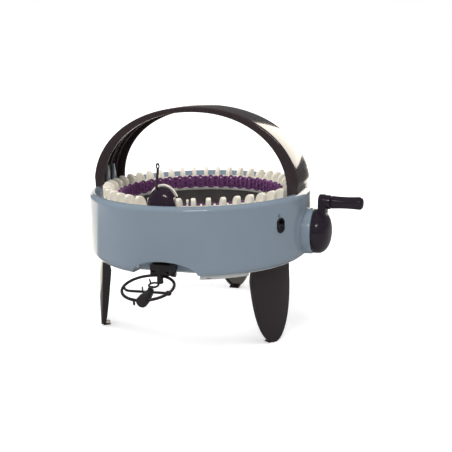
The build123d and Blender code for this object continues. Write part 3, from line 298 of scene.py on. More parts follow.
def linked(tree, source, target):
    """Feeds a socket from another one, or with a number."""
    if isinstance(source, (int, float)):
        target.default_value = source
    else:
        tree.links.new(source, target)


def set_inputs(node, values):
    """Sets a node's inputs, by their labels or their places."""
    for label, value in values.items():
        node.inputs[label].default_value = value


def math_node(tree, operation, a, b=0.0):
    """Output of a math node on sockets or numbers."""
    made = tree.nodes.new("ShaderNodeMath")
    made.operation = operation
    for socket, value in zip(made.inputs, (a, b)):
        linked(tree, value, socket)
    return made.outputs[0]


def noise(tree, coordinates, scale, detail=2.0, roughness=0.5):
    """Output of a noise texture, whose scale is a socket or a number."""
    made = tree.nodes.new("ShaderNodeTexNoise")
    linked(tree, scale, made.inputs["Scale"])
    set_inputs(made, {"Detail": detail, "Roughness": roughness})
    linked(tree, coordinates, made.inputs["Vector"])
    return made.outputs["Fac"]


def moulding_group():
    """Moulded plastic: a slow waviness plus a fine grain as height, and handling smudges as a mask."""
    group, get, put = node_group(
        "moulded_surface",
        [("Wave scale", 60.0), ("Grain scale", 1800.0), ("Grain share", 0.5), ("Smudge scale", 25.0)],
        ["Height", "Smudge"],
    )
    place = group.nodes.new("ShaderNodeTexCoord").outputs["Object"]
    wave = noise(group, place, get.outputs["Wave scale"], 1.0)
    grain = noise(group, place, get.outputs["Grain scale"], 3.0, 0.6)
    mix = group.nodes.new("ShaderNodeMix")
    linked(group, get.outputs["Grain share"], mix.inputs[0])
    linked(group, wave, mix.inputs[2])
    linked(group, grain, mix.inputs[3])
    linked(group, mix.outputs[0], put.inputs["Height"])
    smudge = noise(group, place, get.outputs["Smudge scale"], 5.0, 0.62)
    spread = group.nodes.new("ShaderNodeMapRange")
    set_inputs(spread, {"From Min": 0.38, "From Max": 0.68})
    linked(group, smudge, spread.inputs["Value"])
    linked(group, spread.outputs[0], put.inputs["Smudge"])
    return group


def brushed_group():
    """Turned or drawn metal: fine lines across the crank's axis as height, and a streak mask."""
    group, get, put = node_group("turned_metal", [("Line scale", 900.0)], ["Height", "Streak"])
    place = group.nodes.new("ShaderNodeTexCoord").outputs["Object"]
    stretch = group.nodes.new("ShaderNodeMapping")
    set_inputs(stretch, {"Scale": (1.0, 0.08, 0.08)})
    linked(group, place, stretch.inputs["Vector"])
    lines = noise(group, stretch.outputs[0], get.outputs["Line scale"], 2.0)
    linked(group, lines, put.inputs["Height"])
    linked(group, noise(group, place, 120.0, 4.0), put.inputs["Streak"])
    return group


def wool_group():
    """Spun wool: plies twisted round the strand by its UV map, and fibres, as height, and as a colour
    mask of painted shade in the grooves between plies plus the fibres' tone.
    """
    group, get, put = node_group("spun_wool", [("Plies", 3.0), ("Twist", 26.0)], ["Height", "Fibre tone and painted ply shade"])
    uv = group.nodes.new("ShaderNodeUVMap")
    parts = group.nodes.new("ShaderNodeSeparateXYZ")
    linked(group, uv.outputs[0], parts.inputs[0])
    along = math_node(group, "MULTIPLY", parts.outputs[0], get.outputs["Twist"])
    round_it = math_node(group, "MULTIPLY", parts.outputs[1], get.outputs["Plies"])
    half_turns = math_node(group, "MULTIPLY", math_node(group, "ADD", along, round_it), math.pi)
    ply = math_node(group, "ABSOLUTE", math_node(group, "SINE", half_turns))
    place = group.nodes.new("ShaderNodeTexCoord").outputs["Object"]
    fibre = noise(group, place, 900.0, 6.0, 0.75)
    ply_height = math_node(group, "MULTIPLY", ply, 0.7)
    fibre_height = math_node(group, "MULTIPLY", fibre, 0.9)
    linked(group, math_node(group, "ADD", ply_height, fibre_height), put.inputs["Height"])
    # Colour mask: painted shade, darkest in the grooves between the plies, plus the fibres' own tone.
    shade = math_node(group, "MULTIPLY", math_node(group, "ADD", ply, fibre), 0.5)
    linked(group, shade, put.inputs["Fibre tone and painted ply shade"])
    return group


MOULDED = moulding_group()
TURNED = brushed_group()
WOOL = wool_group()


def finish_base(name, group, settings):
    """Material with its Principled shader, and one effect group placed in it."""
    made = bpy.data.materials.new(name)
    made.use_nodes = True
    tree = made.node_tree
    shader = tree.nodes["Principled BSDF"]
    effect = tree.nodes.new("ShaderNodeGroup")
    effect.node_tree = group
    set_inputs(effect, settings)
    return made, tree, shader, effect


def two_tone(tree, mask, first, second, target):
    """Colour between two tones by a mask."""
    mix = tree.nodes.new("ShaderNodeMix")
    mix.data_type = "RGBA"
    set_inputs(mix, {6: (*first, 1), 7: (*second, 1)})
    linked(tree, mask, mix.inputs[0])
    linked(tree, mix.outputs[2], target)


def between(tree, mask, low, high, target):
    """Number between two values by a mask."""
    spread = tree.nodes.new("ShaderNodeMapRange")
    set_inputs(spread, {"To Min": low, "To Max": high})
    linked(tree, mask, spread.inputs["Value"])
    linked(tree, spread.outputs[0], target)


def relief(tree, height, depth_mm, strength, shader):
    """Bump from a height that stands for a depth in millimetres."""
    bump = tree.nodes.new("ShaderNodeBump")
    set_inputs(bump, {"Distance": depth_mm * 0.001, "Strength": strength})
    linked(tree, height, bump.inputs["Height"])
    linked(tree, bump.outputs[0], shader.inputs["Normal"])


def plastic(
    name, colour, roughness, grain, depth=0.05, strength=0.25, shade=0.92, coat=0.0, scatter=0.0
):
    """Moulded plastic: colour and gloss drift a little with handling, over a fine moulded surface."""
    made, tree, shader, effect = finish_base(name, MOULDED, grain)
    smudge, darker = effect.outputs["Smudge"], tuple(c * shade for c in colour)
    two_tone(tree, smudge, colour, darker, shader.inputs["Base Color"])
    between(tree, smudge, roughness, min(1.0, roughness * 1.35 + 0.02), shader.inputs["Roughness"])
    relief(tree, effect.outputs["Height"], depth, strength, shader)
    set_inputs(shader, {"IOR": 1.48, "Coat Weight": coat, "Coat Roughness": 0.04})
    if scatter:
        set_inputs(shader, {"Subsurface Weight": scatter, "Subsurface Scale": 0.002})
        set_inputs(shader, {"Subsurface Radius": (1.0, 0.8, 0.6)})
    return made


def metal(name, colour, roughness):
    """Plain turned steel with fine lines."""
    made, tree, shader, effect = finish_base(name, TURNED, {})
    streak, darker = effect.outputs["Streak"], tuple(c * 0.82 for c in colour)
    two_tone(tree, streak, colour, darker, shader.inputs["Base Color"])
    between(tree, streak, roughness, roughness * 1.5, shader.inputs["Roughness"])
    relief(tree, effect.outputs["Height"], 0.02, 0.3, shader)
    set_inputs(shader, {"Metallic": 1.0})
    return made


def wool(name, dark, light):
    """Wool yarn: painted shade darkens its colour in the grooves between plies, fibres vary its tone,
    and both lift its surface, with a soft sheen.
    """
    made, tree, shader, effect = finish_base(name, WOOL, {})
    # dark is the painted shade in the ply grooves, light the colour on the plies' crowns.
    two_tone(tree, effect.outputs["Fibre tone and painted ply shade"], dark, light, shader.inputs["Base Color"])
    relief(tree, effect.outputs["Height"], 0.5, 0.9, shader)
    set_inputs(shader, {"Roughness": 0.95, "Specular IOR Level": 0.15, "Sheen Weight": 0.45})
    set_inputs(shader, {"Sheen Roughness": 0.5, "Sheen Tint": (0.75, 0.5, 0.75, 1)})
    return made


GLOSSY = {"Wave scale": 22.0, "Grain scale": 900.0, "Grain share": 0.06, "Smudge scale": 14.0}
SATIN = {"Wave scale": 90.0, "Grain scale": 2200.0, "Grain share": 0.6, "Smudge scale": 30.0}
SPARK = {"Wave scale": 260.0, "Grain scale": 1500.0, "Grain share": 0.8, "Smudge scale": 40.0}

# Colour, roughness, grain, the bump's depth in mm and strength, the smudges' shade, coat and scatter.
PLASTICS = {
    "shell_blue": ((0.188, 0.234, 0.283), 0.12, GLOSSY, 0.10, 0.12, 0.96, 0.6),
    "pan_grey": ((0.40, 0.40, 0.395), 0.42, SATIN),
    # Inner skirt: dark plastic whose near-black colour also holds painted shade, the shade inside the
    # drum's throat.
    "skirt_dark": ((0.052, 0.047, 0.044), 0.62, SPARK, 0.12, 0.5, 0.8),
    "drum_white": ((0.66, 0.645, 0.60), 0.38, SATIN, 0.05, 0.25, 0.92, 0.0, 0.15),
    "crown_white": ((0.76, 0.715, 0.62), 0.26, SATIN, 0.03, 0.2, 0.95, 0.0, 0.25),
    "needle_white": ((0.72, 0.70, 0.65), 0.22, SATIN, 0.02, 0.2, 0.92, 0.0, 0.15),
    "bearing_grey": ((0.25, 0.25, 0.25), 0.45, SATIN),
    "gear_grey": ((0.30, 0.30, 0.31), 0.4, SATIN),
    "crank_plum": ((0.016, 0.010, 0.018), 0.16, GLOSSY, 0.08, 0.12, 0.9, 0.3),
    "handle_plum": ((0.031, 0.021, 0.023), 0.10, GLOSSY, 0.10, 0.12, 0.9, 0.5),
    "feeder_plum": ((0.020, 0.011, 0.021), 0.12, GLOSSY, 0.06, 0.12, 0.9, 0.4),
    "tension_black": ((0.016, 0.013, 0.014), 0.30, SATIN, 0.03, 0.25, 0.9),
    "selector_black": ((0.014, 0.012, 0.016), 0.28, SATIN, 0.03, 0.25, 0.9),
    "leg_black": ((0.018, 0.013, 0.015), 0.15, GLOSSY, 0.08, 0.12, 0.9, 0.35),
}
FINISHES = {name: plastic(name, *recipe) for name, recipe in PLASTICS.items()}
# Yarn: the first colour is painted shade in the grooves between plies, the second the plies' crowns.
FINISHES["yarn_purple"] = wool("yarn_purple", (0.034, 0.008, 0.040), (0.200, 0.048, 0.205))
FINISHES["steel"] = metal("steel", (0.58, 0.58, 0.58), 0.28)


# ---- body shell ----
RECESS_TURN = math.radians(-88.0)
RECESS_FRONT, RECESS_BACK = 138.0, 111.0
SELECTOR_TURN = math.radians(-28.5)
SELECTOR_Z = 49.2
OVAL_HALF_WIDTH, OVAL_HALF_HEIGHT = 5.65, 8.5
WINDOW_TURN = math.radians(4.2)
WINDOW_LOW, WINDOW_HIGH = 38.0, 60.5
SELECTOR_WALL = 134.97
SHELL_FOOT, SHOULDER_Z = 2.0, 72.0


def wall_radius(z):
    """Radius of the body's wall: drawn in at its foot, barrelled between."""
    foot = 134.5 - 4.5 * np.clip((11 - z) / 9, 0, 1) ** 2.2
    return foot + 0.5 * np.clip(1 - ((z - 41.5) / 30.5) ** 2, 0, 1)


def recess_arch(depth_x, turn):
    """Half ellipse of the front recess at a depth: both half axes shrink evenly towards its back."""
    share = (RECESS_FRONT - depth_x) / (RECESS_FRONT - RECESS_BACK)
    return (40 - 5 * share) * np.cos(turn), SHELL_FOOT + (16.5 - 5 * share) * np.sin(turn)


def recess_mouth(turn):
    """Where the recess's arch meets the wall, found by stepping x along the wall's radius."""
    x = np.full(turn.shape, 134.0)
    for _ in range(10):
        y, z = recess_arch(x, turn)
        x = np.sqrt(wall_radius(z) ** 2 - y**2)
    return x, y, z


def shell_wall():
    """Wall, shoulder, lip and inner cone: columns round the axis, rows from the foot or the arch up."""
    s = np.linspace(0, math.pi, 65)
    x, y, z = recess_mouth(s)
    arch_turn = (RECESS_TURN + np.arctan2(y, x))[::-1]
    arch_low = (z + 0.5 * np.sin(s))[::-1]
    first, last = SELECTOR_TURN - WINDOW_TURN, SELECTOR_TURN + WINDOW_TURN
    end = arch_turn[0] + 2 * math.pi
    plain = stepped([arch_turn[-1], first, last, end], (60, 15, 420))
    turn = np.concatenate([arch_turn, plain[1:-1]])
    foot = np.full(len(turn), SHELL_FOOT)
    foot[: len(arch_low)] = arch_low
    rise = SHOULDER_Z - SHELL_FOOT
    marks = [0, (WINDOW_LOW - SHELL_FOOT) / rise, (WINDOW_HIGH - SHELL_FOOT) / rise, 1]
    share = stepped(marks, (22, 8, 7))
    height = foot[:, None] + (SHOULDER_Z - foot[:, None]) * share
    shoulder = arc((128.5, SHOULDER_Z), 6, 0, 90, 15)[1:]
    lip = [(127.5, RIM_Z), (127.05, 77.9), (126.75, 77.6)]
    cone = [(119.9, CROWN_Z), (119.6, 72.7), (119.5, 72.0), (119.5, 67.5)]
    above = np.tile(np.concatenate([shoulder, lip, cone]), (len(turn), 1, 1))
    radius = np.concatenate([wall_radius(height), above[..., 0]], 1)
    height = np.concatenate([height, above[..., 1]], 1)
    grid = polar(radius, turn[:, None], height)
    points, faces = grid_faces(grid, True, False)
    quads = faces[0].reshape(len(turn), grid.shape[1] - 1, 4)
    keep = np.ones(quads.shape[:2], bool)
    column = (turn > first - 1e-6) & (turn < last - 1e-6)
    row = (share[:-1] > marks[1] - 1e-6) & (share[:-1] < marks[2] - 1e-6)
    keep[np.ix_(column, np.where(row)[0])] = False
    return points, [quads[keep]]


def selector_window():
    """Patch of the wall from a rectangle's edge to the selector's oval, then its inner rim."""
    half = SELECTOR_WALL * WINDOW_TURN
    middle = (WINDOW_LOW + WINDOW_HIGH) / 2
    rise = (WINDOW_HIGH - WINDOW_LOW) / 2
    corner = math.atan2(rise, half)
    corners = [corner, math.pi - corner, math.pi + corner, 2 * math.pi - corner]
    a = np.sort(np.append(full_turn(96), corners))
    c, s = np.cos(a), np.sin(a)
    wide, tall = np.maximum(np.abs(c), 1e-6), np.maximum(np.abs(s), 1e-6)
    frame_reach = np.minimum(half / wide, rise / tall)
    straight = OVAL_HALF_HEIGHT - OVAL_HALF_WIDTH
    side_reach = OVAL_HALF_WIDTH / wide
    chord = np.sqrt(np.maximum(OVAL_HALF_WIDTH**2 - (straight * c) ** 2, 0))
    round_reach = straight * np.abs(s) + chord
    oval_reach = np.where(side_reach * np.abs(s) <= straight, side_reach, round_reach)
    share = np.array([0, 0.35, 0.7, 0.93, 1, 1, 1])[:, None]
    depth = np.array([0, 0, 0, 0, 0.25, 0.5, 3.0])[:, None]
    reach = frame_reach + (oval_reach - frame_reach) * share
    z = middle * (1 - share) + SELECTOR_Z * share + reach * s
    turn = SELECTOR_TURN + reach * c / SELECTOR_WALL
    return grid_faces(polar(wall_radius(z) - depth, turn, z), False, True)


def recess_walls():
    """Inside of the front recess: the arch shrinks evenly to its back, which closes it."""
    s = np.linspace(0, math.pi, 65)
    x, y, z = recess_mouth(s)
    rows = [np.stack([x, y, z + 0.5 * np.sin(s)], -1)]
    for share in np.concatenate([[0.012], np.linspace(0.04, 1, 12)]):
        depth = x + (RECESS_BACK - x) * share
        rows.append(np.stack([depth, *recess_arch(depth, s)], -1))
    back = rows[-1]
    for share, deeper in ((0.93, 0.4), (0.6, 0.6), (0.3, 0.6), (0.0, 0.6)):
        x, y, z = back.T
        rows.append(np.stack([x - deeper, y * share, SHELL_FOOT + (z - SHELL_FOOT) * share], -1))
    return repeated(grid_faces(np.stack(rows, 0)), [RECESS_TURN])


def shell_foot():
    """Turned-in bottom edge between the two ends of the recess."""
    gap = math.radians(16.6)
    turn = RECESS_TURN + np.linspace(gap, 2 * math.pi - gap, 300)[:, None]
    profile = np.array([(130.0, SHELL_FOOT), (127.9, SHELL_FOOT), (127.6, 2.3), (127.6, 8.0)])
    return grid_faces(polar(profile[:, 0], turn, profile[:, 1]))


def crank_collar():
    """Round boss on the wall for the crank, with a soft flare where it leaves the wall."""
    profile = rounded([(126, 8, 0), (126, 28.4, 0), (133.2, 27.3, 5), (142, 27, 2.0), (142, 8, 0.3)], 6)
    return lathe(profile, 160, "x")


def rim_lugs():
    """Four pointed tongues that stand on the rim inside the handle's feet."""
    outline = rounded([(3, 72.6, 0.4), (15, 72.6, 0.4), (9.0, 101.4, 1.0), (6.6, 101.4, 1.0)], 4)
    tongue = slab(outline, 1.5, 0.7)
    sides = [(sx, sy) for sx in (1, -1) for sy in (1, -1)]
    return joined(*[changed(tongue, lambda a, b, c: (sx * (121.4 + c), sy * a, b)) for sx, sy in sides])


def wall_dimple():
    """Small blind hole above the selector, shown by its turned rim."""
    corners = [(133.6, 0.01, 0), (134.0, 1.1, 0.2), (135.0, 1.2, 0.1)]
    corners += [(135.0, 1.7, 0.15), (134.2, 1.7, 0)]
    rim = lathe(rounded(corners, 3, False), 24, "x", False)
    return repeated(moved(rim, (0, 0, 60.4 - SHAFT_Z)), [math.radians(-29.7)])


shell = joined(shell_wall(), selector_window(), recess_walls(), shell_foot())
piece("shell_skin", shell, "shell_blue", "base", ["body_shell"], 50)
piece("shell_crank_collar", crank_collar(), "shell_blue", "base")
piece("shell_lugs", rim_lugs(), "shell_blue", "base")
piece("shell_dimple", wall_dimple(), "selector_black", "base")


# ---- crown of fins ----
WINDOW_IN, WINDOW_OUT = 100.4, 106.7
CROWN_LOW = 69.0
SLOT_HALF, SLOT_RADIUS = 1.35, 104.35


def crown_plate():
    """Flat ring of the crown as an inner and an outer ring, bridged between the needles' windows."""

    def ring(inner, outer, radii):
        spots = [(inner, CROWN_LOW), (outer, CROWN_LOW), (outer, CROWN_Z), (inner, CROWN_Z)]
        return lathe(rounded([(*spot, radius) for spot, radius in zip(spots, radii)], 3), 264)

    half = PITCH / 2 - SLOT_HALF / SLOT_RADIUS
    turn = np.linspace(-half, half, 5)[:, None]
    radius = np.array([WINDOW_IN, WINDOW_OUT, WINDOW_OUT, WINDOW_IN])
    height = np.array([CROWN_LOW, CROWN_LOW, CROWN_Z, CROWN_Z])
    bridge = capped(grid_faces(polar(radius, turn, height), False, True), 4)
    inner = ring(98.0, WINDOW_IN, (0.3, 0.05, 0.05, 0.8))
    outer = ring(WINDOW_OUT, 118.5, (0.05, 0.4, 0.6, 0.05))
    return joined(inner, outer, repeated(bridge, FIN_TURNS))


def crown_fins():
    """44 upright fins: straight outside, tongue-rounded top and a quarter-ellipse slope inwards."""
    q = np.linspace(0, math.pi / 2, 15)
    slope = np.stack([115.0 - 10.5 * np.sin(q), 74.5 + 10.0 * np.cos(q) ** 0.92], 1)
    nose = arc((115.0, 81.5), 3.0, 0, 90, 8)
    outline = np.concatenate([[(104.5, 72.8), (118.0, 72.8), (118.0, 77.0)], nose, slope[1:]])
    height = np.clip((outline[:, 1] - 74.5) / 6.0, 0, 1)
    soft = 0.45 + 0.75 * height * height * (3 - 2 * height)
    fin = changed(slab(outline, 2.5, soft, steps=5), lambda a, b, c: (a, c, b))
    return repeated(fin, FIN_TURNS)


piece("crown_ring", crown_plate(), "crown_white", "drum", ["needle_crown"], 35)
piece("crown_fins", crown_fins(), "crown_white", "drum", (), 60)


# ---- needles ----
def needle_solid(lift=0.0):
    """The needle's outline and its latch's, each carried through its width, with soft edges."""
    top = 75.5
    outside, inside = [arc((103.0, top - 2.2), radius, 180, -30, 15) for radius in (2.2, 1.0)]
    butt = [(105.5, 56.5), (107.3, 56.5), (107.3, 59.0), (105.5, 59.0)]
    foot = [(103.0, 54.8), (105.5, 54.8), *butt, (105.5, top - 7.0)]
    neck = [(105.3, top - 6.2), (102.0, top - 4.6)]
    back = [(100.8, top - 4.4), (103.0, top - 6.1)]
    outline = np.concatenate([foot, neck, inside, outside[::-1], back])
    hook = slab(outline, 1.1, 0.32, steps=2)
    latch = [(102.0, -5.0), (102.8, -5.2), (105.4, -3.6), (106.3, -3.4), (106.2, -2.9), (105.1, -3.0)]
    latch = np.array(latch) + [0, top]
    tongue = slab(latch, 0.55, 0.15, steps=2)
    return changed(joined(hook, tongue), lambda x, z, y: (x, y, z + lift))


first_raised = round((math.radians(-77.0) - NEEDLE_PHASE) / PITCH)
RAISED = {
    "needle_a": (first_raised, 5.5),
    "needle_b": (first_raised - 1, 7.5),
    "needle_c": (first_raised - 2, 5.5),
}
up = [index % NEEDLES for index, lift in RAISED.values()]
down = [k for k in range(NEEDLES) if k not in up]
resting = repeated(needle_solid(), NEEDLE_TURNS[down])
piece("needles_down", resting, "needle_white", "drum", ["needles"])
for name, (index, lift) in RAISED.items():
    raised = repeated(needle_solid(lift), [NEEDLE_PHASE + PITCH * index])
    piece(name + "_up", raised, "needle_white", "lift_" + name, [name])


# ---- knitting ----
def yarn_uv(made):
    """UV map for yarn: U runs along the strand, 200 to the ring, and V with height and radius."""
    mesh = made.data
    layer = mesh.uv_layers.new(name="strand")
    index = np.zeros(len(mesh.loops), int)
    mesh.loops.foreach_get("vertex_index", index)
    co = np.zeros(len(mesh.vertices) * 3)
    mesh.vertices.foreach_get("co", co)
    co = co.reshape(-1, 3)
    along = np.arctan2(co[:, 1], co[:, 0]) / (2 * math.pi) * 200
    radius = np.hypot(co[:, 0], co[:, 1])
    uv = np.stack([along, co[:, 2] * 60 + radius * 60], 1)[index]
    layer.data.foreach_set("uv", uv.astype(np.float32).ravel())


def stitch_row(level, radius):
    """One row of 44 loops in one unbroken strand.

    Along the row a loop swings by A sin(2t), stands up by B cos(t) and leans in and out by
    C cos(2t), where t turns once for each loop, which is the path of yarn in plain knitting.
    """
    t = np.linspace(0, 2 * math.pi * NEEDLES, NEEDLES * 22, endpoint=False)
    turn = NEEDLE_PHASE + (t + 0.85 * np.sin(2 * t)) / NEEDLES
    rise = level - 4.4 * np.cos(t)
    out = radius + 0.75 * np.cos(2 * t)
    fluff = 1.75 * (1 + 0.10 * np.sin(5.3 * t) * np.sin(1.7 * t + 1))
    return wire(polar(out, turn, rise), fluff, 8, True)


def backing_cloth():
    """Sheet of the knitting behind the loops: columns of stitches bow inwards, the lower edge dips."""
    turn = full_turn(NEEDLES * 12)[:, None]
    v = np.linspace(0, 1, 15)
    t = (turn - NEEDLE_PHASE) * NEEDLES
    low = 61.2 + 0.9 * np.cos(t)
    z = low + (71.8 - low) * v
    radius = 97.1 - 0.35 * np.cos(t) * np.sin(math.pi * v) ** 2
    return grid_faces(polar(radius, turn, z), True, False)


def needle_tufts():
    """Loops of yarn from each needle's neck over the drum's edge down into the knitting."""
    s = np.linspace(-1, 1, 15)
    lean = np.abs(s) ** 1.5
    height = 73.6 + 1.2 * (1 - s**2) - 5.0 * lean**2
    path = np.stack([99.3 - 3.2 * lean, 2.6 * np.sin(s * 1.8), height], -1)
    return repeated(wire(path, 1.35, 8), NEEDLE_TURNS)


cloth = piece("knit_cloth", backing_cloth(), "yarn_purple", "drum", ["knitted_band"], 60)
upper = piece("knit_row_upper", stitch_row(69.2, 95.9), "yarn_purple", "drum", (), 80)
lower = piece("knit_row_lower", stitch_row(65.0, 95.8), "yarn_purple", "drum", (), 80)
tufts = piece("knit_tufts", needle_tufts(), "yarn_purple", "drum", (), 80)
for strand in (cloth, upper, lower, tufts):
    yarn_uv(strand)


# ---- handle ----
HANDLE_RISE, HANDLE_REACH, HANDLE_POWER = 97, 130, 2.1
RIM_IN, RIM_OUT = 119.75, 131.4


def arch_line(turn):
    """Outer arch of the handle, a super-ellipse of power 2.1 on the rim, with straight ends below."""
    c, s = np.cos(turn), np.sin(turn)
    x = HANDLE_REACH * np.sign(c) * np.abs(c) ** (2 / HANDLE_POWER)
    return x, RIM_Z + HANDLE_RISE * np.abs(s) ** (2 / HANDLE_POWER)


def handle_frame():
    """Points, inward normals, channel depth and half width along the arch from foot to foot.

    The channel is deeper at the feet than at the top, and narrows as it rises.
    """
    turn = np.linspace(0, math.pi, 121)
    turn = turn - 0.35 * np.sin(4 * turn) / 4
    x, z = arch_line(turn)
    line = np.stack([x, z], 1)
    foot = np.array([line[0] - [0, 5.5], line[-1] - [0, 5.5]])
    line = np.concatenate([foot[:1], line, foot[1:]])
    ahead = unit(np.gradient(line, axis=0))
    inward = np.stack([-ahead[:, 1], ahead[:, 0]], 1)
    depth = 6.0 + 7.7 * np.cos(turn) ** 2
    depth = np.concatenate([depth[:1], depth, depth[-1:]])
    rise = np.clip((line[:, 1] - RIM_Z) / HANDLE_RISE, 0, 1)
    half = 30 - 6.5 * (0.35 * rise + 0.65 * rise**2)
    return line, inward, depth, half


def swept_section(section):
    """Closed sections (inward depth, across) set along the handle's arch, and held on the rim below."""
    grid = []
    for outer, inward, depth, half in zip(*handle_frame()):
        a, b = section(depth, half)
        place = outer + inward * a[:, None]
        grid.append(np.stack([place[:, 0], b, place[:, 1]], -1))
    grid = np.array(grid)
    radial, z = np.hypot(grid[..., 0], grid[..., 1]), grid[..., 2]
    above = np.minimum(radial, RIM_OUT + (z - 86) * 0.4)
    limit = np.where(z < 86.5, np.clip(radial, RIM_IN, RIM_OUT), above)
    scale = np.where(radial > 60, limit / np.maximum(radial, 1), 1)
    grid[..., 0] *= scale
    grid[..., 1] *= np.minimum(scale, 1)
    return capped(grid_faces(grid, False, True), grid.shape[1])


def handle_channel():
    """Arched channel open towards the drum: a web 3 mm thick with a wall along each edge."""

    def section(depth, half):
        web, wall = min(3.0, depth - 0.6), half - 3.0
        corners = [(0, -half, 2.2), (0, half, 2.2), (depth, half, 0.9), (depth, wall, 0.9)]
        corners += [(web, wall, 0.8), (web, -wall, 0.8), (depth, -wall, 0.9), (depth, -half, 0.9)]
        return rounded(corners, 6).T

    return swept_section(section)


def handle_rib(offset):
    """Thin rib along the inside of the channel."""

    def section(depth, half):
        left, right = offset * half / 30 - 0.8, offset * half / 30 + 0.8
        top = 3.1 + 0.3 * max(0.0, depth - 3.0)
        return rounded([(2.0, left, 0), (top, left, 0.5), (top, right, 0.5), (2.0, right, 0)], 3).T

    return swept_section(section)


ribs = joined(*[handle_rib(offset) for offset in (-16.6, 0.0, 16.6)])
piece("handle_arch", handle_channel(), "handle_plum", "base", ["handle"])
piece("handle_ribs", ribs, "handle_plum", "base")


# ---- feeder ----
HOOD = np.array([0.4, -113.5, 73.0])
HOOD_POWER = 2.6
HOOD_BEHIND = 4.4


def hood_grid(sizes):
    """Part of a full egg (a super-ellipsoid of power 2.6) about a level front-to-back axis.

    reach runs from its front pole to a plane behind its middle, phi round the axis, and the rows
    behind the rim's edge start higher, clear of the crown.
    """
    reach = np.linspace(0.02, math.acos(-((HOOD_BEHIND / sizes[1]) ** (HOOD_POWER / 2))), 40)[:, None]
    fullness = 2 / HOOD_POWER
    c = np.cos(reach)
    y = HOOD[1] - sizes[1] * np.sign(c) * np.abs(c) ** fullness
    across = np.sin(reach) ** fullness
    lift = np.arcsin(np.clip((86.0 - HOOD[2]) / (sizes[2] * np.maximum(across, 0.2)), -1, 1))
    start = np.where(y > -119.9, lift, math.radians(-14))
    phi = start + (math.pi - 2 * start) * np.linspace(0, 1, 48)
    x = HOOD[0] + sizes[0] * np.cos(phi) * across
    z = HOOD[2] + sizes[2] * np.sin(phi) * across
    return np.stack([x, np.broadcast_to(y, x.shape), z], -1)


def feeder_hood():
    """Egg-shaped hood, 2.4 mm thick, open behind, with a rounded back edge and its two screw posts."""
    outer, inner = hood_grid((18.2, 14.6, 24.0)), hood_grid((15.8, 12.2, 21.6))[::-1]
    edge = (outer[-1] + inner[0]) / 2 + [0, 0.5, 0]
    posts = [np.array([(HOOD[0] + side, -125.6, z) for z in (73.0, 81.0)]) for side in (-9, 9)]
    shapes = [wire(post, 2.4, 20, up=(0, 1, 0)) for post in posts]
    return joined(grid_faces(np.concatenate([outer, edge[None], inner])), *shapes)


def hood_guard():
    """White crescent that stands proud of the hood's back edge, thickest above and to its left."""
    phi = np.linspace(math.radians(33), math.radians(147), 60)
    section = [(0.15, -112.0), (1.4, -112.0), (2.1, -111.4), (2.3, -110.2)]
    section += [(2.1, -109.0), (1.4, -108.6), (0.15, -108.6)]
    rows = []
    for proud, y in section:
        share = np.sqrt(np.maximum(1 - ((y - HOOD[1]) / 15.6) ** 2, 0))
        bulge = proud * (0.35 + 0.45 * np.sin(phi) - 0.25 * np.cos(phi))
        x = HOOD[0] + (18.2 * share + bulge) * np.cos(phi)
        z = HOOD[2] + (24.0 * share + bulge * 1.35) * np.sin(phi)
        rows.append(np.stack([x, np.full_like(x, y), z], -1))
    points, faces = grid_faces(np.array(rows), True, False)
    end = np.arange(len(section))[None] * len(phi)
    return points, faces + [end, end[:, ::-1] + len(phi) - 1]


def feeder_rod():
    """Slim rod with a flat, pointed eye at its tip."""
    foot, tip = np.array([-5.4, -121.5, 80.0]), np.array([-1.6, -120.5, 117.0])
    s = np.linspace(0, 1, 24)
    rod = wire(np.linspace(foot, tip, 24), 1.4 + 0.25 * np.exp(-((s / 0.1) ** 2)), 20, up=(0, 1, 0))
    a = full_turn(40)
    eye = tip + [0, 0, 2.7]
    loop = np.stack([eye[0] + 1.55 * np.cos(a), np.full_like(a, eye[1]), eye[2] + 2.6 * np.sin(a)], -1)
    return joined(rod, wire(loop, 0.78 + 0.25 * np.maximum(np.sin(a), 0), 12, True, (0, 1, 0)))


piece("feeder_hood", feeder_hood(), "feeder_plum", "base", ["feeder_dome"], 50)
piece("feeder_crescent", hood_guard(), "crown_white", "base", ["feeder_guard"], 50)
piece("feeder_rod", feeder_rod(), "feeder_plum", "base", ["yarn_rod"], 50)


# ---- crank ----
CRANK_THROW = 35.0


def hub_dome():
    """Domed hub turned about the crank's axis, with a rounded rim."""
    q = np.linspace(0, math.pi / 2, 20)[1:]
    dome = np.stack([147.6 + 14.0 * np.sin(q), 26.0 * np.cos(q) ** 0.8], 1)
    start = rounded([(142.6, 5, 0), (142.6, 26.0, 0.8), (147.6, 26.0, 0)], 4, False)
    return lathe(np.concatenate([start, dome]), 128, "x", False)


def crank_arm():
    """Flat arm that narrows to the grip's eye, with soft edges and the eye's round boss."""
    foot, eye = arc((0, SHAFT_Z), 12, 180, 360, 25), arc((0, SHAFT_Z + CRANK_THROW), 9, 5, 175, 25)
    arm = slab(np.concatenate([foot, eye]), 4.5, 1.6, steps=5)
    corners = [(150, 0.01, 0), (150, 8.2, 0), (161.1, 8.2, 0.8), (161.1, 0.01, 0)]
    boss = lathe(rounded(corners, 4, False), 64, "x", False)
    return joined(changed(arm, lambda a, b, c: (151.6 + c, a, b)), moved(boss, (0, 0, CRANK_THROW)))


def hand_grip():
    """Turned grip, slightly waisted, with a rounded closed end."""
    s = np.linspace(0, 1, 24)
    body = np.stack([162.6 + 31.5 * s, 7.5 - 0.6 * np.sin(math.pi * s)], 1)
    end = arc((194.1, 3.0), 4.5, 90, 0, 9)[1:]
    start = np.array([(161.6, 3.2), (161.6, 6.6), (161.9, 7.2)])
    profile = np.concatenate([start, body, end, [(198.6, 0.01)]])
    return moved(lathe(profile, 96, "x", False), (0, 0, CRANK_THROW))


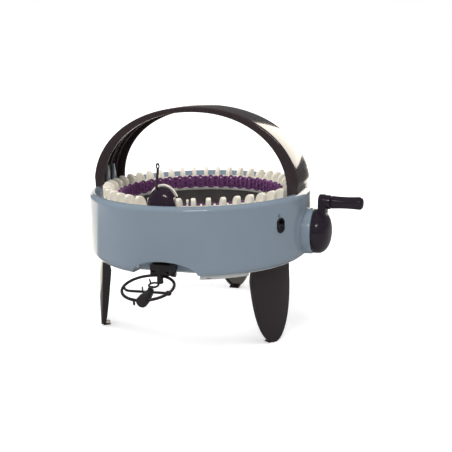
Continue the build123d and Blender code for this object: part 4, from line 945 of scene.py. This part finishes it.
piece("crank_dome", hub_dome(), "crank_plum", "crank", ["crank_hub"], 45)
piece("crank_lever", crank_arm(), "crank_plum", "crank", ["crank_arm"], 45)
piece("crank_knob", hand_grip(), "crank_plum", "grip", ["crank_grip"], 45)


# ---- legs ----
LEG_TOP = -0.8


def leg_plate():
    """Tongue-shaped leg: a bowed outer face, a side wall deepest below the hinge, a thinner plate."""
    a = np.linspace(0, math.pi, 49)
    tongue = np.stack([28.5 * np.cos(a), 5.0 - 93.2 * np.sin(a) ** (2 / 2.5)], 1)
    line = tongue[(tongue[:, 1] > TABLE_Z) & (tongue[:, 1] < -0.9)]
    right, left = line[line[:, 0] > 0], line[line[:, 0] < 0]
    sole = [(right[-1, 0] - 0.6, TABLE_Z), (left[0, 0] + 0.6, TABLE_Z)]
    outline = np.concatenate([[(28.45, LEG_TOP)], right, sole, left, [(-28.45, LEG_TOP)]])
    middle = np.array([0.0, -38.0])
    face, floor = inset(outline, 0.9), inset(outline, 2.8)
    q = np.linspace(0, math.pi / 2, 5)
    rows = [(middle + (face - middle) * share, 0, 0, 0) for share in np.linspace(0, 1, 14)[:-1]]
    rows += [(inset(outline, 0.9 * (1 - math.sin(t))), 0, 0, 0.9 * (1 - math.cos(t))) for t in q]
    rows += [(inset(outline, 0.7 * (1 - math.sin(t))), 1, 0, -0.7 * (1 - math.cos(t))) for t in q[::-1]]
    rows += [(inset(outline, 2.4), 1, 0, 0)]
    rows += [(middle + (floor - middle) * share, 0, 1, 0) for share in np.linspace(1, 0, 14)]
    grid = []
    for points, at_rim, at_plate, deeper in rows:
        share = np.clip((points[:, 1] - LEG_TOP) / (TABLE_Z - LEG_TOP), 0, 1)
        outer = 126.5 + 2.5 * share + 3.2 * share * (1 - share)
        rim, plate = np.interp(share, [0, 0.1, 1], [6.0, 11.0, 5.5]), 4.6 - 1.4 * share
        radius = outer - at_rim * rim - at_plate * plate - deeper
        grid.append(polar(radius, points[:, 0] / 126.0, points[:, 1]))
    return grid_faces(np.array(grid), False, True)


def leg_sole():
    """Inward lip at the leg's sole."""
    corners = [(118.0, 0, 0.3), (126.5, 0, 0), (126.5, 5.1, 0), (123.5, 2.6, 1.0), (118.0, 1.6, 0.6)]
    lip = rounded(corners, 3)
    turn = np.radians(np.linspace(-3.2, 3.2, 15))[:, None]
    return capped(grid_faces(polar(lip[:, 0], turn, lip[:, 1] + TABLE_Z), False, True), len(lip))


def leg_knuckle():
    """Hinge knuckle at the leg's top and its bridge to the plate."""
    outline = np.concatenate([arc((115, -4.5), 4, 80, 280, 21), [(122.5, -8.5), (122.5, LEG_TOP)]])
    return changed(slab(outline, 11.7, 0.4, steps=2), lambda a, b, c: (a, c, b))


leg_shape = joined(leg_plate(), leg_sole(), leg_knuckle())
for name, turn in (("back", 90), ("front_left", 210), ("front_right", 330)):
    form = repeated(leg_shape, [math.radians(turn)])
    piece("leg_" + name + "_form", form, "leg_black", "foot_" + name, ["leg_" + name])


# ---- tensioner ----
TILT = math.radians(11.3)
AXLE_X, HINGE_Y = 6.4, 34.1


def on_tension(shape):
    """From the tensioner's own plane (x along its hinge, y towards the body) to the frame's axes."""
    c, s = math.cos(TILT), math.sin(TILT)
    return changed(shape, lambda x, y, z: (x - 5.0, y * c - z * s - 150.1, y * s + z * c - 6.8))


def bar(start, end, radius, sides):
    """Straight round bar with half-ball ends."""
    path = np.array([start, end], float)
    run = path[1] - path[0]
    up = (0, 0, 1) if abs(run[2]) < 0.5 * np.linalg.norm(run) else (1, 0, 0)
    return wire(path, radius, sides, up=up)


def tension_loop():
    """Round wire ring with its bent cross bar and knot, the axle's collar, a pin, a tab and a web.

    The cross bar is two straight lines with a parabola between them.
    """
    ring = wire(polar(28.1, full_turn(128), 0.0), 1.6, 20, True)
    left, elbow, right = np.array([(-27.9, -3.0), (-20.4, -10.5), (26.9, -8.0)])
    start, end = left + (elbow - left) * 0.72, elbow + (right - elbow) * 0.1
    q = np.linspace(0, 1, 22)[:, None]
    bend = np.concatenate(
        [
            left + (elbow - left) * np.linspace(0, 0.7, 5)[:, None],
            (1 - q) ** 2 * start + 2 * q * (1 - q) * elbow + q**2 * end,
            elbow + (right - elbow) * np.linspace(0.12, 1, 16)[:, None],
        ]
    )
    cross = wire(np.concatenate([bend, 0 * bend[:, :1]], 1), 1.4, 16)
    knot = wire(np.array([(right[0] + along, right[1], 0) for along in (-0.6, 0, 0.6)]), 2.8, 20)
    collar = bar((AXLE_X, -6.5, 0), (AXLE_X, -10.4, 0), 3.1, 24)
    pin = bar((-2.1, -9.0, 0), (-2.1, -9.0, 5.2), 0.8, 12)
    tab = bar((-4.3, -27.8, 0), (-4.3, -27.8, -5.4), 1.2, 14)
    corners = [(2.1, 26.2, 0), (11.1, 26.2, 0), (11.1, HINGE_Y, 1.2), (2.1, HINGE_Y, 1.2)]
    return joined(ring, cross, knot, collar, pin, tab, slab(rounded(corners, 3), 1.6, 0.5))


def round_axle(profile):
    """A (distance in front, radius) profile turned about the tensioner's axle."""
    return changed(lathe(profile[:, ::-1], 48), lambda x, y, z: (AXLE_X + x, -z, y))


def end_boss():
    """Round boss that the sleeve's axle ends in."""
    corners = [(23.1, 0.01, 0), (23.1, 6.3, 0.5), (32.0, 6.3, 1.2), (32.0, 0.01, 0)]
    return round_axle(rounded(corners, 4))


def hinge_knuckle():
    """Round knuckle of the ring about its hinge pin."""
    profile = rounded([(-6.7, 1.6, 0), (-6.7, 2.6, 0.3), (6.7, 2.6, 0.3), (6.7, 1.6, 0)], 3)
    return changed(lathe(profile[:, ::-1], 40), lambda x, y, z: (z + 6.6, HINGE_Y + x, y))


def tapered_sleeve():
    """Sleeve that widens from the cross bar to the end boss."""
    corners = [(11.0, 1.55, 0), (11.0, 4.4, 0.5), (22.8, 5.8, 0.5), (22.8, 1.55, 0)]
    return round_axle(rounded(corners, 4))


def yarn_eye():
    """Small yarn eye with two horns, clipped over the cross bar."""
    ring = wire(polar(5.2, full_turn(64), 3.0) + [AXLE_X, 1.3, 0], 1.1, 16, True)
    corners = [(4.2, -10.0, 0.8), (8.6, -10.0, 0.8), (8.6, -3.4, 0.6), (4.2, -3.4, 0.6)]
    foot = moved(slab(rounded(corners, 3), 0.7, 0.3), (0, 0, 3.9))
    ends = [((AXLE_X + s * 4.47, 3.9, 3.0), (AXLE_X + s * 5.27, 3.9, 7.6)) for s in (-1, 1)]
    return joined(ring, foot, *[bar(low, high, 0.9, 14) for low, high in ends])


hoop, roller, eye = joined(tension_loop(), end_boss(), hinge_knuckle()), tapered_sleeve(), yarn_eye()
piece("tension_hoop", on_tension(hoop), "tension_black", "tension_loop", ["tensioner_ring"])
piece("tension_roller", on_tension(roller), "tension_black", "sleeve", ["tension_sleeve"])
piece("tension_eye", on_tension(eye), "tension_black", "tension_loop", ["tension_eyelet"])


# ---- CAD nodes that keep their own shape ----
for node, finish in {
    "lower_pan": "pan_grey", "inner_skirt": "skirt_dark", "cam_ring": "drum_white",
    "cam_screws": "steel", "pan_screws": "steel", "shaft_bush": "bearing_grey",
    "shaft_bush_inner": "bearing_grey", "needle_cylinder": "drum_white", "ring_gear": "drum_white",
    "crank_shaft": "steel", "pinion": "gear_grey", "crank_screw": "steel", "grip_pin": "steel",
    "handle_screws": "steel", "feeder_screws": "steel", "tensioner_bracket": "tension_black",
    "tensioner_pin": "steel", "tension_axle": "steel", "tension_plug": "tension_black",
    "selector_bezel": "selector_black", "selector_slide": "selector_black",
    "leg_pin_back": "steel", "leg_pin_front_left": "steel", "leg_pin_front_right": "steel",
}.items():
    polished(node, finish)


# ---- stage, light and camera ----
CREAM = (1.0, 0.93, 0.81)


def stage_floor():
    """White table top; behind the mill's left side it shows brightly in the mill's reflections."""
    mesh = bpy.data.meshes.new("table_top")
    size, z = 6.0, TABLE_Z * 0.001
    corners = [(-size, -size, z), (size, -size, z), (size, size, z), (-size, size, z)]
    mesh.from_pydata(corners, [], [(0, 1, 2, 3)])
    material = bpy.data.materials.new("table_white")
    material.use_nodes = True
    tree = material.node_tree
    shader = tree.nodes["Principled BSDF"]
    set_inputs(shader, {"Roughness": 0.9, "Specular IOR Level": 0.0})
    ray = tree.nodes.new("ShaderNodeLightPath")
    mirrored = ray.outputs["Is Glossy Ray"]
    # In the mill's reflections the table is painted darker, and a cream glow in the sector behind the
    # mill's left side paints a bright reflected surround.
    two_tone(tree, mirrored, (0.86, 0.86, 0.86), (0.22, 0.215, 0.21), shader.inputs["Base Color"])
    two_tone(tree, mirrored, (1, 1, 1), CREAM, shader.inputs["Emission Color"])
    place = tree.nodes.new("ShaderNodeTexCoord").outputs["Object"]
    away = tree.nodes.new("ShaderNodeVectorMath")
    away.operation = "LENGTH"
    linked(tree, place, away.inputs[0])
    far = tree.nodes.new("ShaderNodeMapRange")
    set_inputs(far, {"From Min": 0.30, "From Max": 1.3, "To Min": 0.42, "To Max": 1.0})
    linked(tree, away.outputs["Value"], far.inputs["Value"])
    direct = math_node(tree, "MULTIPLY", ray.outputs["Is Camera Ray"], far.outputs[0])
    parts = tree.nodes.new("ShaderNodeSeparateXYZ")
    linked(tree, place, parts.inputs[0])
    bearing = math_node(tree, "ARCTAN2", parts.outputs[0], parts.outputs[1])
    first = math_node(tree, "GREATER_THAN", bearing, math.radians(-80))
    last = math_node(tree, "LESS_THAN", bearing, math.radians(11))
    lit = math_node(tree, "MULTIPLY", math_node(tree, "MULTIPLY", first, last), mirrored)
    glow = math_node(tree, "ADD", direct, math_node(tree, "MULTIPLY", lit, 1.1))
    linked(tree, glow, shader.inputs["Emission Strength"])
    mesh.materials.append(material)
    made = placed("table_top", mesh)


def studio_world():
    """White surround for the camera, a softer one for light and a dim room for reflections."""
    world = bpy.data.worlds.new("studio")
    bpy.context.scene.world = world
    world.use_nodes = True
    tree = world.node_tree
    back = tree.nodes["Background"]
    ray = tree.nodes.new("ShaderNodeLightPath")
    seen = math_node(tree, "MAXIMUM", ray.outputs["Is Camera Ray"], ray.outputs["Is Transmission Ray"])
    darker = math_node(tree, "MULTIPLY", ray.outputs["Is Glossy Ray"], 0.34)
    dimmed = math_node(tree, "SUBTRACT", 0.46, darker)
    set_inputs(back, {"Color": (1, 1, 1, 1)})
    linked(tree, math_node(tree, "MAXIMUM", seen, dimmed), back.inputs["Strength"])


def softbox(name, place, target, width, height, power, mirrored=False):
    """Rectangular lamp that faces a point, and lights the mill or only shows in its reflections."""
    data = bpy.data.lights.new(name, "AREA")
    data.shape = "RECTANGLE"
    data.size, data.size_y, data.energy = width, height, power
    data.color = CREAM if mirrored else (1, 1, 1)
    made = placed(name, data)
    made.visible_camera = False
    made.visible_glossy = mirrored
    made.visible_diffuse = made.visible_transmission = not mirrored
    made.location = place
    away = unit(np.subtract(place, target))
    side = unit(np.cross((0, 0, 1), away))
    top = np.cross(away, side)
    made.rotation_mode = "QUATERNION"
    made.rotation_quaternion = Matrix(np.stack([side, top, away], 1).tolist()).to_quaternion()


def photo_camera():
    """Camera fitted to the photograph: azimuth 19.4 degrees, 12.8 above the horizon, rolled by -1.2."""
    az, el, roll = math.radians(19.41), math.radians(12.81), math.radians(-1.18)
    away = np.array([math.sin(az) * math.cos(el), -math.cos(az) * math.cos(el), math.sin(el)])
    level = np.array([math.cos(az), math.sin(az), 0.0])
    above = np.cross(level, -away)
    right = math.cos(roll) * level + math.sin(roll) * above
    top = -math.sin(roll) * level + math.cos(roll) * above
    target = level * 0.02998 + np.array([0, 0, 0.11512 + TABLE_Z * 0.001])
    place = target + away * 0.9534
    data = bpy.data.cameras.new("photo_camera")
    data.sensor_width, data.lens = 36.0, 61.46
    data.clip_start, data.clip_end = 0.05, 30
    made = placed("photo_camera", data)
    matrix = np.eye(4)
    matrix[:3] = np.stack([right, top, away, place], 1)
    made.matrix_world = Matrix(matrix.tolist())
    bpy.context.scene.camera = made


stage_floor()
studio_world()
photo_camera()
softbox("left_softbox", (-1.25, 0.05, 0.25), (0, 0, 0.02), 0.5, 1.3, 13)
softbox("right_softbox", (1.35, 0.55, 0.30), (0, 0, 0.02), 0.5, 1.3, 4.5)
softbox("top_softbox", (0.1, -0.25, 1.35), (0, 0, 0.05), 1.1, 0.8, 14)
softbox("front_fill", (0.2, -1.7, 0.8), (0, 0, 0.03), 1.4, 1.0, 11)
softbox("front_glint", (0.31, -1.06, 0.91), (0, 0, 0.05), 0.5, 0.12, 2.8, True)
softbox("back_glint", (0.32, 1.18, 0.48), (0.1, 0, 0.13), 0.58, 0.58, 3.3, True)
softbox("low_back_glint", (-0.16, 0.47, 0.05), (0, 0, 0.05), 0.8, 0.28, 0.85, True)
bpy.context.scene.view_settings.view_transform = "Standard"
